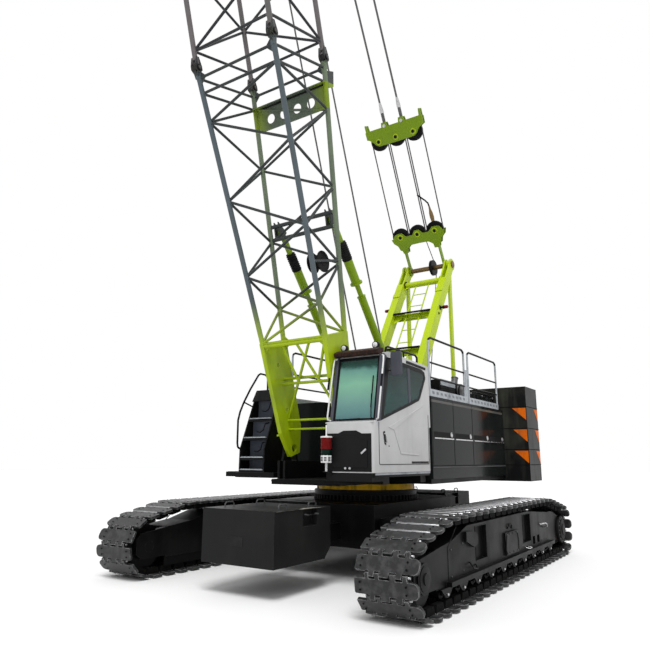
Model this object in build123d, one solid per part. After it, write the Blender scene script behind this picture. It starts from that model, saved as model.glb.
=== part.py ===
from build123d import *
from math import acos, atan2, cos, hypot, pi, radians, sin, tan
import os

# Lattice-boom crawler crane, in millimetres. +X is the machine's front, +Y its left (the cab's side), +Z up.
# The origin is on the ground, on the slewing axis.

os.makedirs("parts", exist_ok=True)

# Tracks: the loop's outer line, its shoes, and the band of links inside them
track_outer_y = 2941
shoe_width = 860
track_height = 1191
track_end_radius = 500
front_wheel_x = 3400
rear_wheel_x = -3310
top_run_front = 2600
top_run_rear = -2300
arc_steps = 16
shoe_count = 58
shoe_gap = 95
shoe_thickness = 45
band_half_width = 290
band_outer_inset = 30
band_inner_inset = 150
tread_clearance = 0.5

# Track frames
frame_inner_y = 2190
frame_outer_y = 2780
frame_bottom = 300
frame_outline = [
    (-2930, frame_bottom),
    (3020, frame_bottom),
    (3020, 790),
    (2470, 850),
    (1900, 1000),
    (-1100, 1000),
    (-2450, 900),
    (-2760, 900),
    (-2930, 860),
]
front_ear = [(2900, 320), (2900, 800), (3590, 720), (3660, 620), (3660, 400), (3560, 320)]
rear_ear = [(-2850, 320), (-2850, 880), (-3480, 720), (-3560, 620), (-3560, 400), (-3470, 320)]
frame_pockets = ((1120, 1590), (-1230, -770))
pocket_bottom = 480
pocket_top = 960
pocket_depth = 70
frame_slots = ((-1800, -1640), (-1510, -1350))
slot_bottom = 340
slot_top = 540
cover_front = 300
cover_rear = -380
cover_bottom = 400
cover_top = 750
cover_thickness = 35
tie_lug = [(1600, 740), (1740, 690), (2050, 800), (2050, 930), (1750, 910), (1600, 860)]
tie_lug_thickness = 50
flange_front = 2700
flange_rear = -2600
flange_outer_y = 2860
flange_top = 360

# Wheels inside the tracks
wheel_width = 420
wheel_side_gap = 20
axle_radius = 90
hub_radius = 185
hub_length = 25
sprocket_teeth = 12
sprocket_rim_radius = 270
sprocket_ring_half = 60
roller_count = 10
roller_front = 2750
roller_rear = -2400
roller_radius = 85
roller_pin_radius = 40
roller_cut_gap = 10

# Carbody and its weights
carbody_half_length = 1700
carbody_half_width = 1150
carbody_bottom = 520
carbody_top = 1200
axle_x = 1250
axle_width = 520
axle_bottom = 480
axle_top = 980
weight_front = 3699
weight_back = 2283
weight_half_width = 684
weight_bottom = 437
weight_top = 1208
weight_chamfer = 160
weight_pocket = (2650, 3020)
weight_pocket_bottom = 950
weight_pocket_depth = 100
weight_arm_y = 450
weight_arm_half = 60
weight_arm_bottom = 640
weight_arm_top = 900

# Slew ring: a gear below and a smooth race above
ring_tooth_count = 72
ring_radius = 1000
ring_root_radius = 962
ring_race_radius = 985
ring_bore = 780
ring_gear_top = 1290
ring_top = 1370
turntable_radius = 940
ring_gap = 0.5

# Slewing frame
deck_bottom = 1500
deck_thickness = 90
deck_front = 2050
deck_rear = -3715
wing_thickness = 84
cab_beams = ((560, 760), (1900, 2100))
deck_half_width = 1560
girder_y = 599
girder_thickness = 40
girder_base_top = 1900
girder_lead = 330

# Boom foot and its pin
foot_x = 1583
foot_z = 2123
foot_thickness = 80
foot_side_gap = 1
foot_pin_radius = 70
pin_clearance = 0.05
lug_radius = 190
boom_angle = 74.134

# Boom: half widths and half depths of the chord lines at the foot, the plates' end and the first joint
plate_bend = 350
plates_end = 1910
butt_stations = (1960, 2530, 3170, 3810, 4520, 5200, 5905, 6400)
butt_top_struts = 6660
node_inset = 300
joint_reach = 140
joint_lug_half = 30
joint_fork_thickness = 30
joint_pin_radius = 38
joint_boss_radius = 78
butt_end = 6833
foot_half_width = 599
plates_half_width = 670.5
plates_half_depth = 308.5
lattice_half_width = 828.5
lattice_half_depth = 755.5
insert_lengths = (3000, 6000, 6000)
head_length = 6167
head_half_width = 420
head_half_depth = 330
chord_radius = 45
lacing_radius = 24
cross_tube_radius = 37
bay_length = 690
head_bay_count = 7
head_plates_start = 26800
head_plate_thickness = 40
head_shaft_radius = 70

# Braces between the foot plates: (station, depth, y) at each end
foot_braces = (
    ((1900, 0, -500), (1200, 0, -235)),
    ((1900, 0, 450), (1200, 0, 190)),
    ((1900, 0, 120), (560, 0, -575)),
    ((1900, 0, -170), (520, 0, 570)),
)
foot_tubes = ((1180, 0, 26), (1260, -90, 26), (520, 40, 20), (360, 60, 20))
foot_holes = ((700, 26), (1530, 29))
foot_hole_radius = 42
foot_lip_s = 290
foot_lip_thickness = 25
foot_lip_reach = 55

# Plate with round holes across the rear face
rear_plate_low = 5930
rear_plate_high = 6400
rear_plate_thickness = 20
rear_plate_hole_s = 6130
rear_plate_hole_radius = 90
rear_plate_holes = (-460, -155, 155, 460)
rear_plate_flange = 110

# Cable reel on the butt's left side
reel_s = 3215
reel_disc_radius = 185
reel_disc_thickness = 12
reel_inner_y = 440
reel_disc_gap = 205
reel_hub_radius = 60

# Gantry (A-frame)
gantry_x = -3325
gantry_z = 6739
gantry_y = 576
gantry_leg_angle = 56.8
gantry_foot_z = 1930
gantry_cap_front = 150
gantry_box_top = 6300
cheek_thickness = 40
cheek_half = 115
leg_width = 170
leg_depth = 260
strut_width = 60
strut_depth = 120
gantry_shaft_radius = 60
gantry_head_radius = 150
gantry_sheave_radius = 200
gantry_sheave_y = 150
link_inner_y = 450
link_width = 30
link_depth = 120
link_tip = 250
side_gap = 1
strut_head_radius = 110
strut_foot_height = 40
collar_width = 30
foot_member_z = 2700
foot_member_size = 150
walkway_members = (4300, 5280)
angle_half = 70
angle_thickness = 12
walkway_rear = 200
walkway_front = 110
walkway_half_width = 485
walkway_thickness = 25
top_tube_z = 6280
top_tube_radius = 75
ladder_sides = (-190, 160)
ladder_top = 6200
ladder_bottom = 2750
ladder_first_rung = 5940
rung_pitch = 340
ladder_tube_radius = 17
rung_radius = 11
marker_places = ((-1, 5560), (1, 5440))
marker_radius = 40
marker_reach = 190

# Luffing tackle
lower_spreader_x = -2801
lower_spreader_z = 7539
upper_spreader_x = -1730
upper_spreader_z = 9738
sheave_places = (-472, 0, 472)
tackle_sheave_radius = 225
tackle_sheave_width = 70
sheave_side_gap = 5
sheave_pin_radius = 50
pin_head = 20
spreader_thickness = 30
link_eye_radius = 110
pendant_y = 233
pendant_radius = 24
pendant_root = 330
pendant_attach_s = 27500
pendant_attach_depth = -750
pendant_beam_depth = -200
pendant_lug_thickness = 40
pendant_fork_length = 700
pendant_fork_thickness = 25

# Half outlines of the spreaders, as (y, reach along the stay), from the lower middle outwards and back
lower_spreader_half = [
    (0, -110),
    (330, -110),
    (365, -430),
    (495, -430),
    (560, -150),
    (640, -90),
    (665, 10),
    (610, 85),
    (530, 105),
    (414, 105),
    (330, 0),
    (142, 0),
    (58, 105),
    (0, 105),
]
upper_spreader_half = [
    (0, -115),
    (480, -110),
    (560, -60),
    (600, 0),
    (700, 90),
    (770, 120),
    (775, 290),
    (755, 315),
    (755, 470),
    (715, 470),
    (700, 315),
    (315, 315),
    (295, 420),
    (171, 420),
    (150, 315),
    (0, 315),
]

# Backstops
backstop_base_x = -500
backstop_base_z = 3050
backstop_s = 3965
backstop_depth = -640
backstop_tubes = (3840, 4090)
backstop_tube_radius = 75
backstop_tube_length = 2440
backstop_rod_radius = 45
backstop_spring_radius = 85
backstop_flange_radius = 115
backstop_flange_thickness = 30
backstop_eye_radius = 80
backstop_eye_half = 35
backstop_lug_thickness = 25
backstop_pin_radius = 35
backstop_bore_start = 380
backstop_rod_length = 3340
backstop_spring_start = 1250
backstop_spring_end = 430
pin_side_gap = 0.5
seat_gap = 0.2

# Machinery housings
housing_front = 352
housing_rear = -3700
housing_side = 1600
housing_inner = 745
housing_roof = 3060
housing_wall = 30
door_bottom = 1818
door_top = 3037
door_count = 4
right_door_count = 2
door_thickness = 40
door_gap = 12
hinge_radius = 5

# Guard rails on the housings
rail_heights = (1100, 630, 350)
rail_radius = 20
rail_inset = 30
rail_runs = ((330, -1420), (-1640, -3430))
toe_board_height = 130
toe_board_half = 5

# Machinery on the left housing's roof: (x from, x to, y from, y to) and the height of its top
roof_case = (-1500, -700, 950, 1330)
roof_case_top = 3500
silencer_x = -1720
silencer_z = 3330
silencer_radius = 165
silencer_ends = (1000, 1400)
silencer_saddle = (-1800, -1640, 1080, 1320)
roof_cover = (-3550, -1950, 1000, 1450)
roof_cover_top = 3390

# Engine, one plain block in the left housing
engine_block = (-3300, -1700, 900, 1450)
engine_base_gap = 60
engine_top = 2750

# Counterweight, seated on the frame's rear: heights of the blocks from the top
counterweight_rear = -4775
counterweight_half_width = 2157
counterweight_bottom = 1451
block_heights = (465, 494, 481, 344, 366)
block_chamfer = 150
block_gap = 0.5

# Cab
cab_inner = 725
cab_outer = 1600
cab_wall = 45
cab_rear = 415
cab_bottom = 1724
cab_nose = 2500
roof_front = (1950, 3640)
roof_rear = (cab_rear, 3570)
glass_thickness = 8
work_lamp_places = (790, 1400)
work_lamp_x = 1900
work_lamp_half = 60
work_lamp_bottom = 3700
work_lamp_top = 3810
mirror_x = 1950
mirror_half_thickness = 15
mirror_span = (1665, 1850)
mirror_heights = (3280, 3600)
mirror_arm_half = 8
mirror_arm_heights = (3420, 3450)
roof_rail_y = 1555
roof_rail_z = 3735
roof_rail_feet = (850, 1320, 1800)
roof_rail_radius = 16
roof_rail_foot_half = 12

# Lamp column before the cab's nose: (radius, height of its top) of each band, from the bottom
column_x = 2610
column_y = 825
column_base = 1760
column_bands = ((18, 1870), (88, 1985), (82, 2075), (88, 2250), (95, 2275), (12, 2450))

# Hoisting
head_sheave_radius = 330
head_sheave_y = 200
head_sheave_depth = 200
head_sheave_width = 70
head_plate_y = 330
rope_radius = 13
rope_gap = 0.3
hook_drop = 3200
hook_shank_radius = 45
hook_radius = 130

# Winches between the girders: place, height and drum radius
winches = (
    (300, 1850, 245),
    (-900, 1850, 245),
    (-2300, 1850, 230),
)
drum_half_width = 400
flange_thickness = 30

# Stair tower and platform on the right: treads as (height, front edge)
stair_outline = [
    (1050, 1690),
    (1910, 1690),
    (1900, 2110),
    (1530, 3030),
    (1410, 3220),
    (1050, 3220),
]
stair_inner = 1000
stair_outer = 1600
stair_wall = 25
stair_recesses = ((1730, 1910, 1905), (1950, 2270, 1900), (2310, 2630, 1830), (2670, 3030, 1680))
stair_recess_depth = 280
platform_outline = [
    (housing_front, -housing_inner),
    (1950, -housing_inner),
    (1950, -1640),
    (1600, -1640),
    (1600, -2200),
    (housing_front, -2200),
]
platform_bottom = 1600
platform_top = 1690

socket_radius = tackle_sheave_width / 2 + sheave_side_gap - 0.3
housing_bottom = deck_bottom + wing_thickness


def block(x_low, x_high, y_low, y_high, z_low, z_high):
    """Box between two values on each axis."""
    middle = ((x_low + x_high) / 2, (y_low + y_high) / 2, (z_low + z_high) / 2)
    return Pos(*middle) * Box(x_high - x_low, y_high - y_low, z_high - z_low)


def prism(axis, points, low, high):
    """Solid with an outline in the plane across an axis: (y, z) for x, (x, z) for y, (x, y) for z."""
    place = {
        "x": lambda a, b: (low, a, b),
        "y": lambda a, b: (a, low, b),
        "z": lambda a, b: (a, b, low),
    }[axis]
    way = {"x": Vector(1, 0, 0), "y": Vector(0, 1, 0), "z": Vector(0, 0, 1)}[axis]
    outline = Wire.make_polygon([place(*point) for point in points], close=True)
    return Part(Solid.extrude(Face(outline), way * (high - low)).wrapped)


def rod(start, end, radius, bore=0):
    """Round bar or tube between two points."""
    run = Vector(*end) - Vector(*start)
    place = Plane(origin=start, z_dir=run)
    solid = place * Cylinder(radius, run.length, align=(Align.CENTER, Align.CENTER, Align.MIN))
    if bore:
        solid -= place * Cylinder(bore, run.length, align=(Align.CENTER, Align.CENTER, Align.MIN))
    return solid


def shaft_y(x, z, y_low, y_high, radius, bore=0):
    """Round bar or ring along Y."""
    return rod((x, y_low, z), (x, y_high, z), radius, bore)


def both_sides(solid):
    """A solid with its mirror image across the machine's middle plane."""
    return [solid, mirror(solid, about=Plane.XZ)]


def fuse(first, *others):
    """One piece from several that touch."""
    return first + [other for other in others]


def write(name, *solids):
    """Writes one node as a STEP file, with every solid it is given."""
    flat = [solid for piece in solids for solid in piece.solids()]
    export_step(flat[0] if len(flat) == 1 else Compound(children=flat), f"parts/{name}.step")


# Undercarriage

track_inner_y = track_outer_y - shoe_width
track_middle_y = (track_outer_y + track_inner_y) / 2


def end_angle(wheel_x, bend_x, way):
    """Angle of the arc's end, where the straight run up to the top run's bend leaves it."""
    rise = track_height - track_end_radius
    lead = hypot(bend_x - wheel_x, rise)
    return atan2(rise, way * (bend_x - wheel_x)) - acos(track_end_radius / lead)


def loop_points(inset):
    """Outline in XZ of the track's loop, or of a line that far inside it."""
    points = []
    for wheel_x, bend_x, way in (
        (front_wheel_x, top_run_front, 1),
        (rear_wheel_x, top_run_rear, -1),
    ):
        last = end_angle(wheel_x, bend_x, way)
        step = (last + pi / 2) / arc_steps
        radius = track_end_radius - inset
        end = [
            (
                wheel_x + way * radius * cos(count * step - pi / 2),
                track_end_radius + radius * sin(count * step - pi / 2),
            )
            for count in range(arc_steps + 1)
        ]
        end.append((bend_x - way * inset * tan((pi / 2 - last) / 2), track_height - inset))
        points += end if way > 0 else end[::-1]
    return points


def shoe_outlines():
    """Outline in XZ of each shoe: its outer face is the chord between its two ends on the loop."""
    points = loop_points(0)
    runs = [(Vector(*a), Vector(*b)) for a, b in zip(points, points[1:] + points[:1])]
    pitch = sum((b - a).length for a, b in runs) / shoe_count
    outlines = []

    def place(way):
        for a, b in runs:
            if way <= (b - a).length:
                return a + (b - a) * (way / (b - a).length)
            way -= (b - a).length
        return points[0]

    for count in range(shoe_count):
        start = place(count * pitch + shoe_gap / 2)
        end = place((count + 1) * pitch - shoe_gap / 2)
        chord = end - start
        inward = Vector(-chord.Y, chord.X) * (shoe_thickness / chord.length)
        outlines.append([(p.X, p.Y) for p in (start, end, end + inward, start + inward)])
    return outlines


def track():
    """Left track: one closed band of links with the shoes across it."""
    band_low, band_high = track_middle_y - band_half_width, track_middle_y + band_half_width
    band = prism("y", loop_points(band_outer_inset), band_low, band_high)
    band -= prism("y", loop_points(band_inner_inset), band_low - 1, band_high + 1)
    shoes = [prism("y", outline, track_inner_y, track_outer_y) for outline in shoe_outlines()]
    return fuse(band, *shoes)


# The band is made of straight runs, so the wheels inside it are as large as its narrowest place
band_step = max(
    end_angle(front_wheel_x, top_run_front, 1), end_angle(rear_wheel_x, top_run_rear, -1)
)
wheel_radius = (track_end_radius - band_inner_inset) * cos(
    (band_step + pi / 2) / arc_steps / 2
) - tread_clearance
roller_z = band_inner_inset + tread_clearance + roller_radius
wheel_low = track_middle_y - wheel_width / 2
wheel_high = track_middle_y + wheel_width / 2


def roller_x(count):
    """Place along the track of one roller."""
    return roller_rear + (roller_front - roller_rear) * count / (roller_count - 1)


def track_frame():
    """Box frame inside the left track: pockets, a cover, a tie-down lug and slots in its outer side, a
    flange along its foot, and plates beside both wheels."""
    pieces = []
    for outline in (front_ear, rear_ear):
        for y_low, y_high in (
            (frame_inner_y, wheel_low - wheel_side_gap),
            (wheel_high + wheel_side_gap, frame_outer_y),
        ):
            pieces.append(prism("y", outline, y_low, y_high))
    pieces.append(
        block(
            cover_rear, cover_front, frame_outer_y - 1, frame_outer_y + cover_thickness, cover_bottom, cover_top
        )
    )
    pieces.append(prism("y", tie_lug, frame_outer_y - 1, frame_outer_y + tie_lug_thickness))
    pieces.append(
        block(flange_rear, flange_front, frame_outer_y - 1, flange_outer_y, frame_bottom, flange_top)
    )
    frame = fuse(prism("y", frame_outline, frame_inner_y, frame_outer_y), *pieces)
    for x_low, x_high in frame_pockets:
        frame -= block(
            x_low, x_high, frame_outer_y - pocket_depth, frame_outer_y + 1, pocket_bottom, pocket_top
        )
    for x_low, x_high in frame_slots:
        frame -= block(
            x_low, x_high, frame_outer_y - pocket_depth, frame_outer_y + 1, slot_bottom + 60, slot_top
        )
    for x in (front_wheel_x, rear_wheel_x):
        frame -= shaft_y(
            x, track_end_radius, frame_inner_y - 1, frame_outer_y + 1, axle_radius + pin_clearance
        )
    for count in range(roller_count):
        frame -= shaft_y(
            roller_x(count),
            roller_z,
            wheel_low - roller_cut_gap,
            wheel_high + roller_cut_gap,
            roller_radius + roller_cut_gap,
        )
    return frame


def end_wheel(x, pieces):
    """Wheel at a track's end, with its axle through the frame and its hub outside."""
    axle = shaft_y(x, track_end_radius, frame_inner_y, frame_outer_y + 1, axle_radius)
    hub = shaft_y(
        x, track_end_radius, frame_outer_y + side_gap / 2, frame_outer_y + hub_length, hub_radius
    )
    return fuse(axle, hub, *pieces)


def idler():
    """Smooth front wheel of the left track."""
    rim = shaft_y(front_wheel_x, track_end_radius, wheel_low, wheel_high, wheel_radius)
    return end_wheel(front_wheel_x, [rim])


def sprocket():
    """Driven rear wheel of the left track: a rim with a toothed ring round its middle."""
    rim = shaft_y(rear_wheel_x, track_end_radius, wheel_low, wheel_high, sprocket_rim_radius)
    outline = []
    for count in range(sprocket_teeth):
        for part, radius in (
            (-0.3, sprocket_rim_radius - 1),
            (-0.14, wheel_radius),
            (0.14, wheel_radius),
            (0.3, sprocket_rim_radius - 1),
        ):
            angle = 2 * pi * (count + part) / sprocket_teeth
            outline.append(
                (rear_wheel_x + radius * cos(angle), track_end_radius + radius * sin(angle))
            )
    teeth = prism(
        "y", outline, track_middle_y - sprocket_ring_half, track_middle_y + sprocket_ring_half
    )
    return end_wheel(rear_wheel_x, [rim, teeth])


def rollers():
    """Rollers under the left track's frame, each hung from it by the blocks on its pin's ends."""
    pieces = []
    for count in range(roller_count):
        x = roller_x(count)
        body = shaft_y(x, roller_z, wheel_low, wheel_high, roller_radius)
        reach = roller_cut_gap * 3
        pin = shaft_y(x, roller_z, wheel_low - reach, wheel_high + reach, roller_pin_radius)
        hangers = [
            block(
                x - roller_pin_radius,
                x + roller_pin_radius,
                min(y, y + side * reach / 2),
                max(y, y + side * reach / 2),
                roller_z,
                frame_bottom,
            )
            for y, side in ((wheel_low - reach / 2, -1), (wheel_high + reach / 2, 1))
        ]
        pieces.append(fuse(body, pin, *hangers))
    return pieces


left_track = track()
write("track_left", left_track)
write("track_right", mirror(left_track, about=Plane.XZ))
left_frame = track_frame()
write("track_frame_left", left_frame)
write("track_frame_right", mirror(left_frame, about=Plane.XZ))
write("drive_sprockets", *both_sides(sprocket()))
write("idler_wheels", *both_sides(idler()))
write("track_rollers", *[solid for roller in rollers() for solid in both_sides(roller)])


def carbody():
    """Central box with the cross axles that carry the track frames, and arms for the two weights."""
    middle = block(
        -carbody_half_length,
        carbody_half_length,
        -carbody_half_width,
        carbody_half_width,
        carbody_bottom,
        carbody_top,
    )
    axles = [
        block(
            x - axle_width / 2, x + axle_width / 2, -frame_inner_y, frame_inner_y, axle_bottom, axle_top
        )
        for x in (-axle_x, axle_x)
    ]
    arms = [
        block(
            -weight_back,
            weight_back,
            y - weight_arm_half,
            y + weight_arm_half,
            weight_arm_bottom,
            weight_arm_top,
        )
        for y in (-weight_arm_y, weight_arm_y)
    ]
    return fuse(middle, *axles, *arms)


def carbody_weight():
    """Front weight of the carbody, with a lower rear chamfer and a lifting pocket in each side."""
    outline = [
        (weight_back, weight_top),
        (weight_front, weight_top),
        (weight_front, weight_bottom),
        (weight_back + weight_chamfer, weight_bottom),
        (weight_back, weight_bottom + weight_chamfer),
    ]
    weight = prism("y", outline, -weight_half_width, weight_half_width)
    for pocket in both_sides(
        block(
            *weight_pocket,
            weight_half_width - weight_pocket_depth,
            weight_half_width + 1,
            weight_pocket_bottom,
            weight_top + 1,
        )
    ):
        weight -= pocket
    return weight


def slew_ring():
    """Gear ring on the carbody with a smooth race above its teeth."""
    outline = []
    for count in range(ring_tooth_count):
        for part, radius in (
            (-0.3, ring_root_radius),
            (-0.15, ring_radius),
            (0.15, ring_radius),
            (0.3, ring_root_radius),
        ):
            angle = 2 * pi * (count + part) / ring_tooth_count
            outline.append((radius * cos(angle), radius * sin(angle)))
    gear = prism("z", outline, carbody_top, ring_gear_top)
    race = rod((0, 0, ring_gear_top - 1), (0, 0, ring_top), ring_race_radius)
    return fuse(gear, race) - rod((0, 0, carbody_top - 1), (0, 0, ring_top + 1), ring_bore)


write("carbody", carbody())
write("carbody_weights", carbody_weight(), mirror(carbody_weight(), about=Plane.YZ))
write("slew_ring", slew_ring())


# Slewing frame


girder_inner = girder_y - foot_thickness / 2 - foot_side_gap - girder_thickness
girder_outer = girder_y + foot_thickness / 2 + foot_side_gap


def lug_outline(x, z, base_z, radius, spread):
    """Outline in XZ of a lug that stands on base_z, with a pointed top over a pin at (x, z)."""
    corner = radius * tan(radians(22.5))
    return [
        (x - spread, base_z),
        (x - radius, z - corner),
        (x - radius, z + corner),
        (x - corner, z + radius),
        (x + corner, z + radius),
        (x + radius, z + corner),
        (x + radius, z - corner),
        (x + spread, base_z),
    ]


def slewing_frame():
    """Deck with two pairs of girders, the boom's lugs, and brackets for the gantry and the backstops."""
    deck = block(
        deck_rear, deck_front, -girder_outer - 60, girder_outer + 60, deck_bottom, deck_bottom + deck_thickness
    )
    wings = block(
        deck_rear, housing_front, -deck_half_width, deck_half_width, deck_bottom, housing_bottom
    )
    turntable = rod((0, 0, ring_top + ring_gap), (0, 0, deck_bottom), turntable_radius, ring_bore)
    pieces = [wings, turntable]
    for x_low, x_high in cab_beams:
        pieces.append(block(x_low, x_high, girder_outer, cab_outer - 60, cab_bottom - 180, cab_bottom))
    for side in (-1, 1):
        for inner in (girder_inner, girder_outer):
            y_low = inner if side > 0 else -inner - girder_thickness
            y_high = y_low + girder_thickness
            pieces.append(
                block(deck_rear, foot_x + girder_lead, y_low, y_high, deck_bottom + 1, girder_base_top)
            )
            pieces.append(
                prism(
                    "y",
                    lug_outline(foot_x, foot_z, deck_bottom + 1, lug_radius, girder_lead),
                    y_low,
                    y_high,
                )
            )
        pin = sorted((side * girder_inner, side * (girder_outer + girder_thickness)))
        pieces.append(shaft_y(foot_x, foot_z, *pin, foot_pin_radius))
        pieces.append(block(deck_rear, gantry_cap_front, *pin, girder_base_top, gantry_foot_z))
    return fuse(deck, *pieces)


write("slewing_frame", slewing_frame())


# Counterweight


def counterweight_block(z_low, z_high):
    """One layer with chamfered upright corners."""
    outline = [
        (deck_rear, -counterweight_half_width),
        (deck_rear, counterweight_half_width),
        (counterweight_rear + block_chamfer, counterweight_half_width),
        (counterweight_rear, counterweight_half_width - block_chamfer),
        (counterweight_rear, -counterweight_half_width + block_chamfer),
        (counterweight_rear + block_chamfer, -counterweight_half_width),
    ]
    return prism("z", outline, z_low, z_high)


blocks = []
block_base = counterweight_bottom
for height in reversed(block_heights):
    blocks.append(counterweight_block(block_base, block_base + height - block_gap))
    block_base += height
write("counterweight_blocks", *blocks)


# Machinery housings


def door_edges():
    """Front edge of each door and their shared width, from the front."""
    step = (housing_front - 20 - (housing_rear + 20)) / door_count
    return [housing_front - 20 - step * count for count in range(door_count)], step


def housing(count):
    """Left housing: a box of sheet walls with openings for its rearmost doors in the outer side."""
    outer = block(housing_rear, housing_front, housing_inner, housing_side, housing_bottom, housing_roof)
    hollow = block(
        housing_rear + housing_wall,
        housing_front - housing_wall,
        housing_inner + housing_wall,
        housing_side - door_thickness - 10,
        housing_bottom + 60,
        housing_roof - housing_wall,
    )
    shell = outer - hollow
    edges, step = door_edges()
    for edge in edges[door_count - count :]:
        shell -= block(
            edge - step + door_gap / 2,
            edge - door_gap / 2,
            housing_side - door_thickness - 0.5,
            housing_side + 1,
            door_bottom,
            door_top,
        )
        shell -= block(
            edge - step + 60,
            edge - 60,
            housing_side - door_thickness - 60,
            housing_side + 1,
            door_bottom + 50,
            door_top - 50,
        )
    return shell


def housing_door(edge, step):
    """One door, flush with the housing's side, on a hinge pin along its front edge."""
    leaf = block(
        edge - step + door_gap,
        edge - door_gap,
        housing_side - door_thickness,
        housing_side,
        door_bottom + door_gap / 2,
        door_top - door_gap / 2,
    )
    hinge = edge - door_gap
    pin = rod(
        (hinge, housing_side, door_bottom + door_gap / 2),
        (hinge, housing_side, door_top - door_gap / 2),
        hinge_radius,
    )
    return fuse(leaf, pin)


write("housing_left", housing(door_count))
write("housing_right", mirror(housing(right_door_count), about=Plane.XZ))
edges, step = door_edges()
for number, edge in enumerate(edges, start=1):
    left_door = housing_door(edge, step)
    write(f"housing_door_left_{number}", left_door)
    if number > door_count - right_door_count:
        write(f"housing_door_right_{number}", mirror(left_door, about=Plane.XZ))
write(
    "engine",
    block(*engine_block, housing_bottom + engine_base_gap, engine_top),
)


def guard_rails():
    """Rails, posts and toe board along the outer edge of the left housing's roof, in two runs."""
    y = housing_side - rail_inset
    runs = []
    for front, rear in rail_runs:
        pieces = [
            rod((front, y, housing_roof + height), (rear, y, housing_roof + height), rail_radius)
            for height in rail_heights
        ]
        for x in (front, rear):
            top = housing_roof + rail_heights[0] + rail_radius
            pieces.append(rod((x, y, housing_roof), (x, y, top), rail_radius))
        pieces.append(
            block(
                rear, front, y - toe_board_half, y + toe_board_half, housing_roof, housing_roof + toe_board_height
            )
        )
        runs.append(fuse(*pieces))
    return runs


write("guard_rails", *[solid for run in guard_rails() for solid in both_sides(run)])


def roof_machinery():
    """Case, silencer and cover on the left housing's roof, behind its rails."""
    base = housing_roof + seat_gap
    silencer = fuse(
        shaft_y(silencer_x, silencer_z, *silencer_ends, silencer_radius),
        block(*silencer_saddle, base, silencer_z),
    )
    return (
        block(*roof_case, base, roof_case_top),
        silencer,
        block(*roof_cover, base, roof_cover_top),
    )


write("roof_machinery", *roof_machinery())


# Cab

cab_outline = [
    (cab_rear, cab_bottom),
    (cab_nose, cab_bottom),
    (cab_nose, 2080),
    (2300, 2470),
    (2160, 2545),
    roof_front,
    roof_rear,
]
cab_hollow = [
    (cab_rear + cab_wall, cab_bottom + cab_wall),
    (cab_nose - cab_wall, cab_bottom + cab_wall),
    (cab_nose - cab_wall, 2070),
    (2265, 2430),
    (2115, 2510),
    (1912, 3590),
    (cab_rear + cab_wall, 3570 - cab_wall),
]
door_outline = [
    (1250, 1850),
    (2320, 1850),
    (2320, 2380),
    (2130, 2500),
    (1940, 3480),
    (1250, 3480),
]
door_window = [(1310, 2840), (2080, 2580), (1905, 3430), (1310, 3430)]
rear_window = [(640, 3370), (870, 2930), (1200, 2850), (1200, 3450), (680, 3470)]


def cab_shell():
    """Hollow cab with raked front, and openings for its door, windows and front panel."""
    shell = prism("y", cab_outline, cab_inner, cab_outer)
    shell -= prism("y", cab_hollow, cab_inner + cab_wall, cab_outer - cab_wall)
    shell -= prism("y", door_outline, cab_outer - cab_wall - 1, cab_outer + 1)
    shell -= prism("y", rear_window, cab_outer - cab_wall - 1, cab_outer + 1)
    shell -= prism("y", rear_window, cab_inner - 1, cab_inner + cab_wall + 1)
    shell -= prism("y", door_window, cab_inner - 1, cab_inner + cab_wall + 1)
    windscreen_hole = [(2080, 2600), (2400, 2600), (2400, 3560), (1880, 3560)]
    shell -= prism("y", windscreen_hole, cab_inner + 70, cab_outer - 70)
    shell -= block(cab_rear - 1, cab_rear + cab_wall + 1, cab_inner + 120, cab_outer - 120, 2700, 3400)
    return shell


def cab_door():
    """Door leaf with its window cut, flush with the cab's outer side."""
    leaf = prism("y", door_outline, cab_outer - cab_wall, cab_outer)
    leaf -= prism("y", door_window, cab_outer - cab_wall - 1, cab_outer + 1)
    return leaf


def windscreen():
    """Raked front pane, seated in its opening."""
    lower, upper = Vector(2148, 0, 2600), Vector(1964, 0, 3560)
    back = Vector(-glass_thickness, 0, 0)
    corners = [lower, upper, upper + back, lower + back]
    return prism("y", [(corner.X, corner.Z) for corner in corners], cab_inner + 70, cab_outer - 70)


def side_panes():
    """Panes of the door, the rear side windows and the inner side, each seated in its opening."""
    y_outer = cab_outer - cab_wall / 2
    y_inner = cab_inner + cab_wall / 2
    return [
        prism("y", outline, y, y + glass_thickness)
        for outline, y in (
            (door_window, y_outer),
            (rear_window, y_outer),
            (door_window, y_inner),
            (rear_window, y_inner),
        )
    ]


write("cab_shell", cab_shell())
write("cab_door", cab_door())
rear_pane = block(
    cab_rear + 20, cab_rear + 20 + glass_thickness, cab_inner + 120, cab_outer - 120, 2700, 3400
)
write("cab_glass", windscreen(), rear_pane, *side_panes())


def operator_seat():
    """Seat on its pedestal."""
    floor = cab_bottom + cab_wall
    cushion = block(950, 1450, 920, 1400, floor + 380, floor + 500)
    back = prism(
        "y", [(950, floor + 480), (1060, floor + 480), (960, floor + 1150), (860, floor + 1150)], 930, 1390
    )
    pedestal = block(1050, 1350, 1020, 1300, floor, floor + 400)
    return fuse(cushion, back, pedestal)


def control_consoles():
    """Control consoles beside the seat, each on the floor."""
    floor = cab_bottom + cab_wall
    return [
        block(1150, 1700, y_low, y_high, floor, floor + 650)
        for y_low, y_high in ((785, 895), (1425, 1540))
    ]


write("cab_interior", operator_seat(), *control_consoles())


def roof_z(x):
    """Height of the cab's roof at a place along it."""
    slope = (roof_front[1] - roof_rear[1]) / (roof_front[0] - roof_rear[0])
    return roof_front[1] - slope * (roof_front[0] - x) + seat_gap


def roof_foot(x, half, top):
    """Outline in XZ of a foot on the sloping roof."""
    return [(x - half, roof_z(x - half)), (x + half, roof_z(x + half)), (x + half, top), (x - half, top)]


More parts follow.
